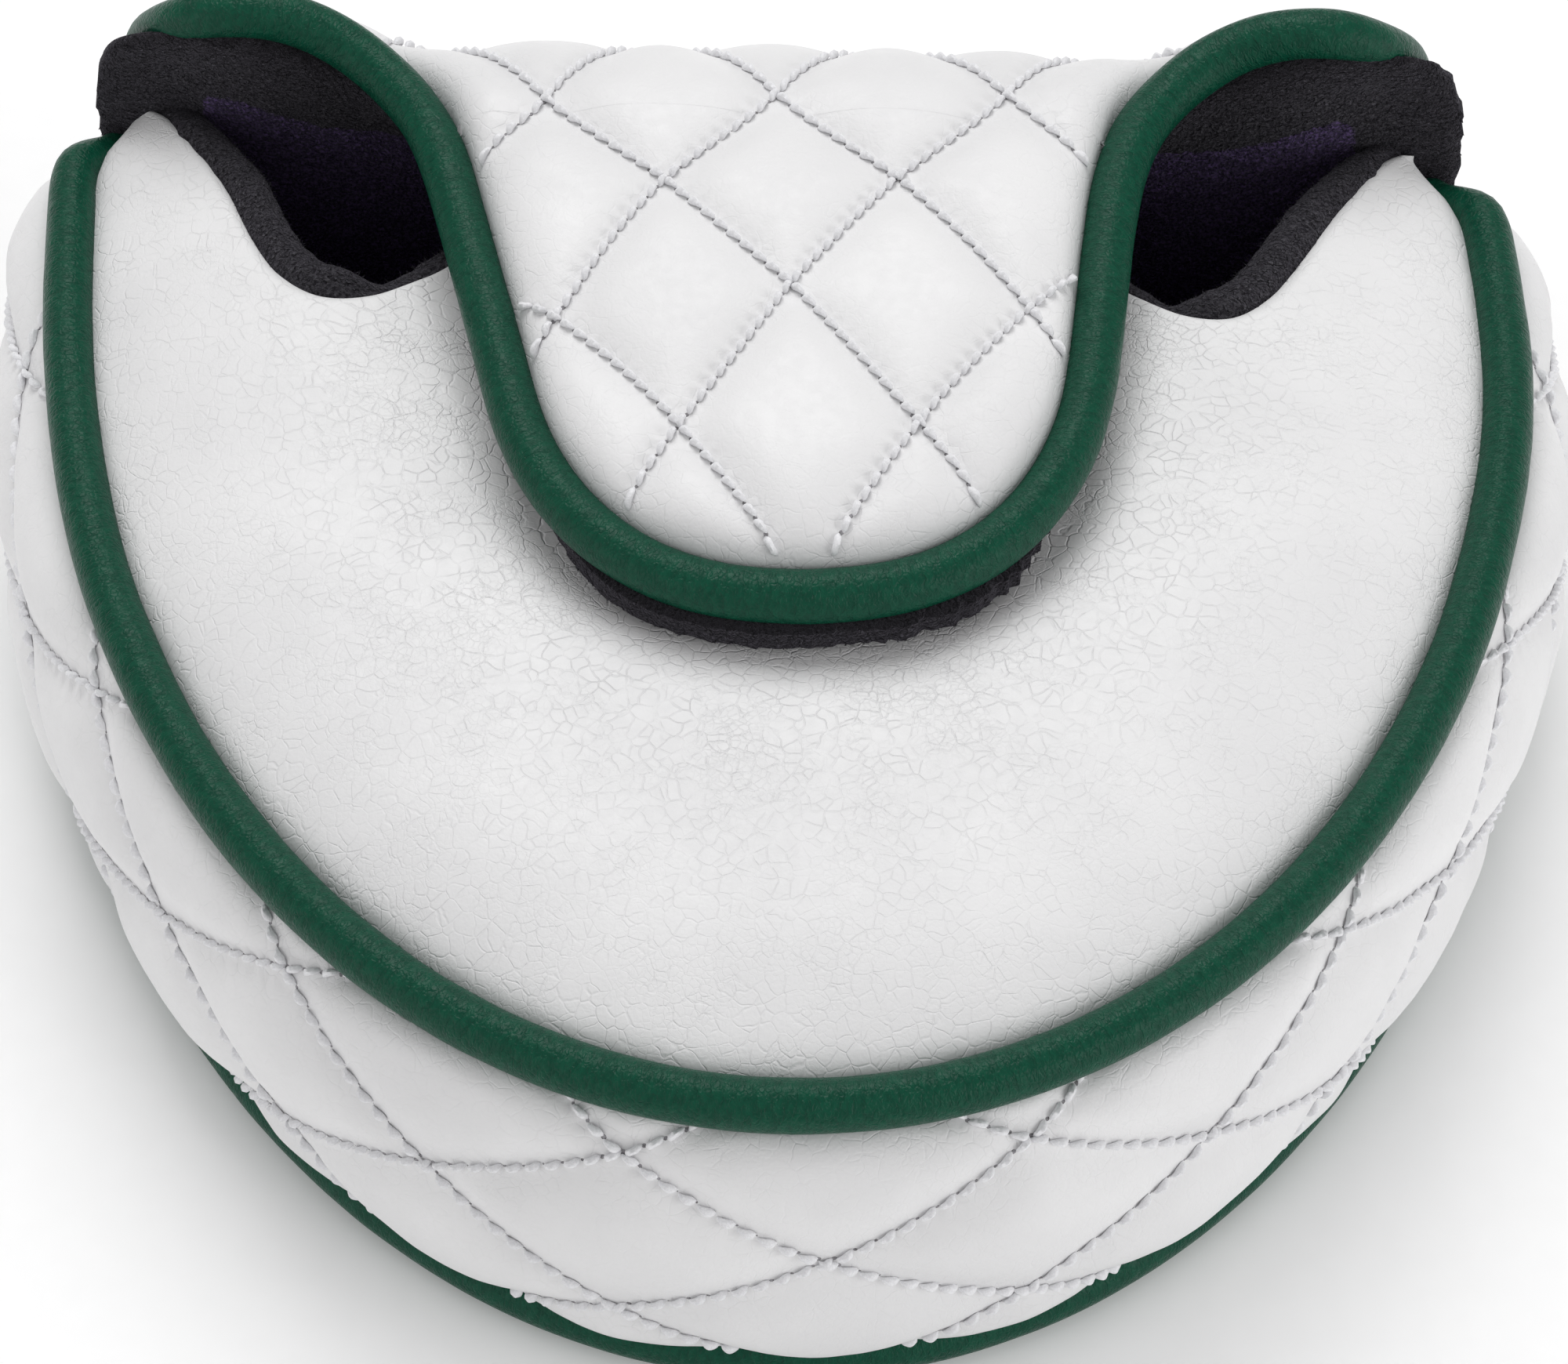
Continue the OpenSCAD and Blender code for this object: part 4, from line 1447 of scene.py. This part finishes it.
def build_flap_lining():
    outline = flap_outline(LINING_POINTS, 0, lining_inset)
    for part, name, rides, nodes in flap_parts("lining", LINING_POINTS, 0, lining_inset, (8, 120, 90), 190):
        part = part[:, ::-1]
        x, s = part[..., 0], part[..., 1]
        edge = outline_distance(part, outline)
        rounding = np.exp(-edge / 1.0)
        beside = smooth(50, 57, abs(x)) * smooth(40, 30, s)
        at_tip = smooth(HINGE_S + 30, HINGE_S + 45, s)
        deep = D_ALL + 0.5 + 0.5 * at_tip - 1.6 * rounding * (1 - 0.6 * at_tip) + 0.9 * beside
        shallow = D_FOAM + 0.1 + 0.6 * rounding - 0.9 * beside
        # The velour starts inside the fleece edge, and nearer to it under the tongue
        velour = smooth(8, 10.5, edge)
        velour = np.maximum(velour, smooth(HINGE_S - 4, HINGE_S + 2, s) * smooth(3, 5, edge))
        # Painted shade: the fleece darkens towards its outer edge, under the piping
        edge_shade = smooth(6.5, 1.0, edge)
        above_foot = smooth(0, 6, s)
        ragged = 0.4 * lumps(np.stack([x, s, 0 * x], -1), 0.9, 95) * np.exp(-edge / 0.8) * above_foot
        outer = flap_at(x + ragged, s + ragged, deep)
        inner = flap_at(x + ragged, s + ragged, shallow)
        piece = fuzzy_piece(f"flap_fleece_{name}", outer, inner, velour, 91, 3.0, edge_shade)
        finish_piece(piece, rides, "fleece", *nodes)


def flap_piping_path(side):
    """The piping's line up the flap's side, over its shoulder and round to the tongue's tip."""
    line = resample(spline(SHOULDER_POINTS, np.linspace(0, 1, 300)), 240)
    depth = lerp(1.5, MID_DEPTH, smooth(28, 38, line[:, 1]))
    wall = flap_at(side * line[:, 0], line[:, 1], depth)
    line = resample(tongue_edge(even_inset(0)), 130)[1:]
    tongue = flap_at(side * line[:, 0], line[:, 1], MID_DEPTH)
    return smoothed(resample(np.concatenate([wall, tongue]), 420), 9)


# The height at which the flap's lower and upper pipings meet
PIPING_CUT_Z = 20


def build_flap_piping():
    """A piping at each side of the foot, and one from the left side round the tongue's tip to the right."""
    halves = []
    for side, name in SIDES:
        path = flap_piping_path(side)
        cut = int(np.argmax(path[:, 2] > PIPING_CUT_Z))
        piping(f"riser_piping_{name}_foot", path[:cut + 1], on_foot, f"riser_piping_{name}")
        filler_cord(f"riser_piping_cord_{name}_foot", path[3:cut], on_foot, f"riser_cord_{name}")
        halves.append(path[cut:])
    left, right = halves
    path = resample(np.concatenate([left, right[::-1][1:]]), 900)
    piping("flap_piping", path, on_fold, "riser_piping_left", "riser_piping_right", "tongue_piping")
    cord_nodes = ("riser_cord_left", "riser_cord_right", "tongue_piping_cord")
    filler_cord("flap_piping_cord", path[3:-3], on_fold, *cord_nodes)


def flap_surface(flat):
    """Spots and normals on the quilted flap, from flat places."""
    def place(p):
        return flap_at(p[:, 0], p[:, 1], flap_depth(p[:, 0], p[:, 1]))
    return surface_at(place, flat, 0.5, outward=-1)


def flap_stitch_lines():
    """The quilting's lines on the flap, cut to the inside of its edge."""
    rows = np.linspace(0, HINGE_S + TONGUE_LEN, 900)
    lines = []
    for k in range(-8, 9):
        for slant in (-1, 1):
            x = 0 * rows
            for _ in range(6):
                x = FLAP_DIAMOND_X0 + FLAP_HALF_DIAMOND * (2 * k - slant * flap_row_at(x, rows))
            line = np.stack([x, rows], -1)
            near = outline_distance(line, SKIN_OUTLINE)
            inside = is_inside(line, SKIN_OUTLINE) & (near > 0.55)
            runs = np.split(np.arange(len(line)), np.flatnonzero(np.diff(inside.astype(int))) + 1)
            lines += [line[run] for run in runs if inside[run[0]] and len(run) > 12]
    return lines


def build_flap_quilting():
    lines = flap_stitch_lines()
    split = HINGE_S * FLAP_SPLIT
    below = sew(lines, flap_surface, FLAP_PITCH, lambda p: p[:, 1] < split)
    above = sew(lines, flap_surface, FLAP_PITCH, lambda p: p[:, 1] >= split)
    quilting("flap_quilting_lower", *below, on_foot)
    quilting("flap_quilting_upper", *above, on_fold)


def dress_magnets():
    """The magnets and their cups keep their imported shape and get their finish."""
    finishes = (("magnets", "nickel", "magnet_metal"), ("magnet_cups", "cup_cloth", "magnet_cloth"))
    for place in ("panel", "tongue"):
        for what, finish, slot in finishes:
            part = frame["nodes"][f"{place}_{what}"]
            part.data.materials.clear()
            part.data.materials.append(MATERIALS[finish])


# ---------- floor, light and camera, in metres ----------

FLOOR_HALF = 3.0
FLOOR_Z = -0.0002
LIGHT_AIM = Vector((0, 0, 0.02))
# Each softbox's place, width and height, and watts
SOFTBOXES = {
    "overhead": ((-0.05, 0.38, 0.66), (0.5, 0.45), 3.2),
    "front": ((0.0, -0.70, 0.62), (0.9, 0.4), 0.25),
    "left": ((-0.75, -0.45, 0.32), (0.6, 0.5), 1.3),
    "right": ((0.75, -0.45, 0.32), (0.6, 0.5), 2.8),
}
WORLD_COLOUR = (1.0, 0.995, 1.0, 1)
WORLD_STRENGTH = 0.38
CAMERA_AZIMUTH = math.radians(-1)
CAMERA_ELEVATION = math.radians(50)
CAMERA_DISTANCE = 0.560
CAMERA_TARGET = Vector((0, -0.00186, 0.025))
# The lens and sensor, in millimetres
CAMERA_LENS = 154.7
CAMERA_SENSOR = 36


def make_floor():
    mesh = bpy.data.meshes.new("floor")
    corners = [(FLOOR_HALF * x, FLOOR_HALF * y, FLOOR_Z) for x, y in ((-1, -1), (1, -1), (1, 1), (-1, 1))]
    mesh.from_pydata(corners, [], [(0, 1, 2, 3)])
    mesh.materials.append(MATERIALS["floor"])
    floor = bpy.data.objects.new("floor", mesh)
    bpy.context.scene.collection.objects.link(floor)


def aim(thing, place, direction):
    """Put a light or camera at a place, and turn it to look along a direction."""
    thing.location = place
    thing.rotation_mode = "QUATERNION"
    thing.rotation_quaternion = direction.to_track_quat("-Z", "Y")
    bpy.context.scene.collection.objects.link(thing)


def softbox(name, place, size, power):
    light = bpy.data.lights.new(name, "AREA")
    light.shape = "RECTANGLE"
    light.size, light.size_y = size
    light.energy = power
    aim(bpy.data.objects.new(name, light), place, LIGHT_AIM - Vector(place))


def make_light():
    for name, (place, size, power) in SOFTBOXES.items():
        softbox(name, place, size, power)
    world = bpy.data.worlds.new("studio")
    world.use_nodes = True
    back = world.node_tree.nodes["Background"]
    back.inputs["Color"].default_value = WORLD_COLOUR
    back.inputs["Strength"].default_value = WORLD_STRENGTH
    bpy.context.scene.world = world


def make_camera():
    camera = bpy.data.cameras.new("camera")
    camera.sensor_width = CAMERA_SENSOR
    camera.lens = CAMERA_LENS
    camera.clip_start = 0.01
    camera.clip_end = 20
    eye = bpy.data.objects.new("camera", camera)
    back = Vector((
        math.sin(CAMERA_AZIMUTH) * math.cos(CAMERA_ELEVATION),
        -math.cos(CAMERA_AZIMUTH) * math.cos(CAMERA_ELEVATION),
        math.sin(CAMERA_ELEVATION),
    ))
    aim(eye, CAMERA_TARGET + back * CAMERA_DISTANCE, -back)
    bpy.context.scene.camera = eye


make_camera()
make_floor()
make_light()
build_top()
hidden_layers("top", panel_layer, T_SKIN + 0.4, 31)
build_mouth_roll()
build_wall()
hidden_layers("gusset", wall_layer, T_SKIN, 51)
build_wall_quilting()
build_wall_rolls()
build_seam_piping()
build_bottom()
build_flap_leather()
build_flap_foam()
build_flap_lining()
build_flap_piping()
build_flap_quilting()
dress_magnets()
bpy.context.scene.view_settings.view_transform = "Standard"
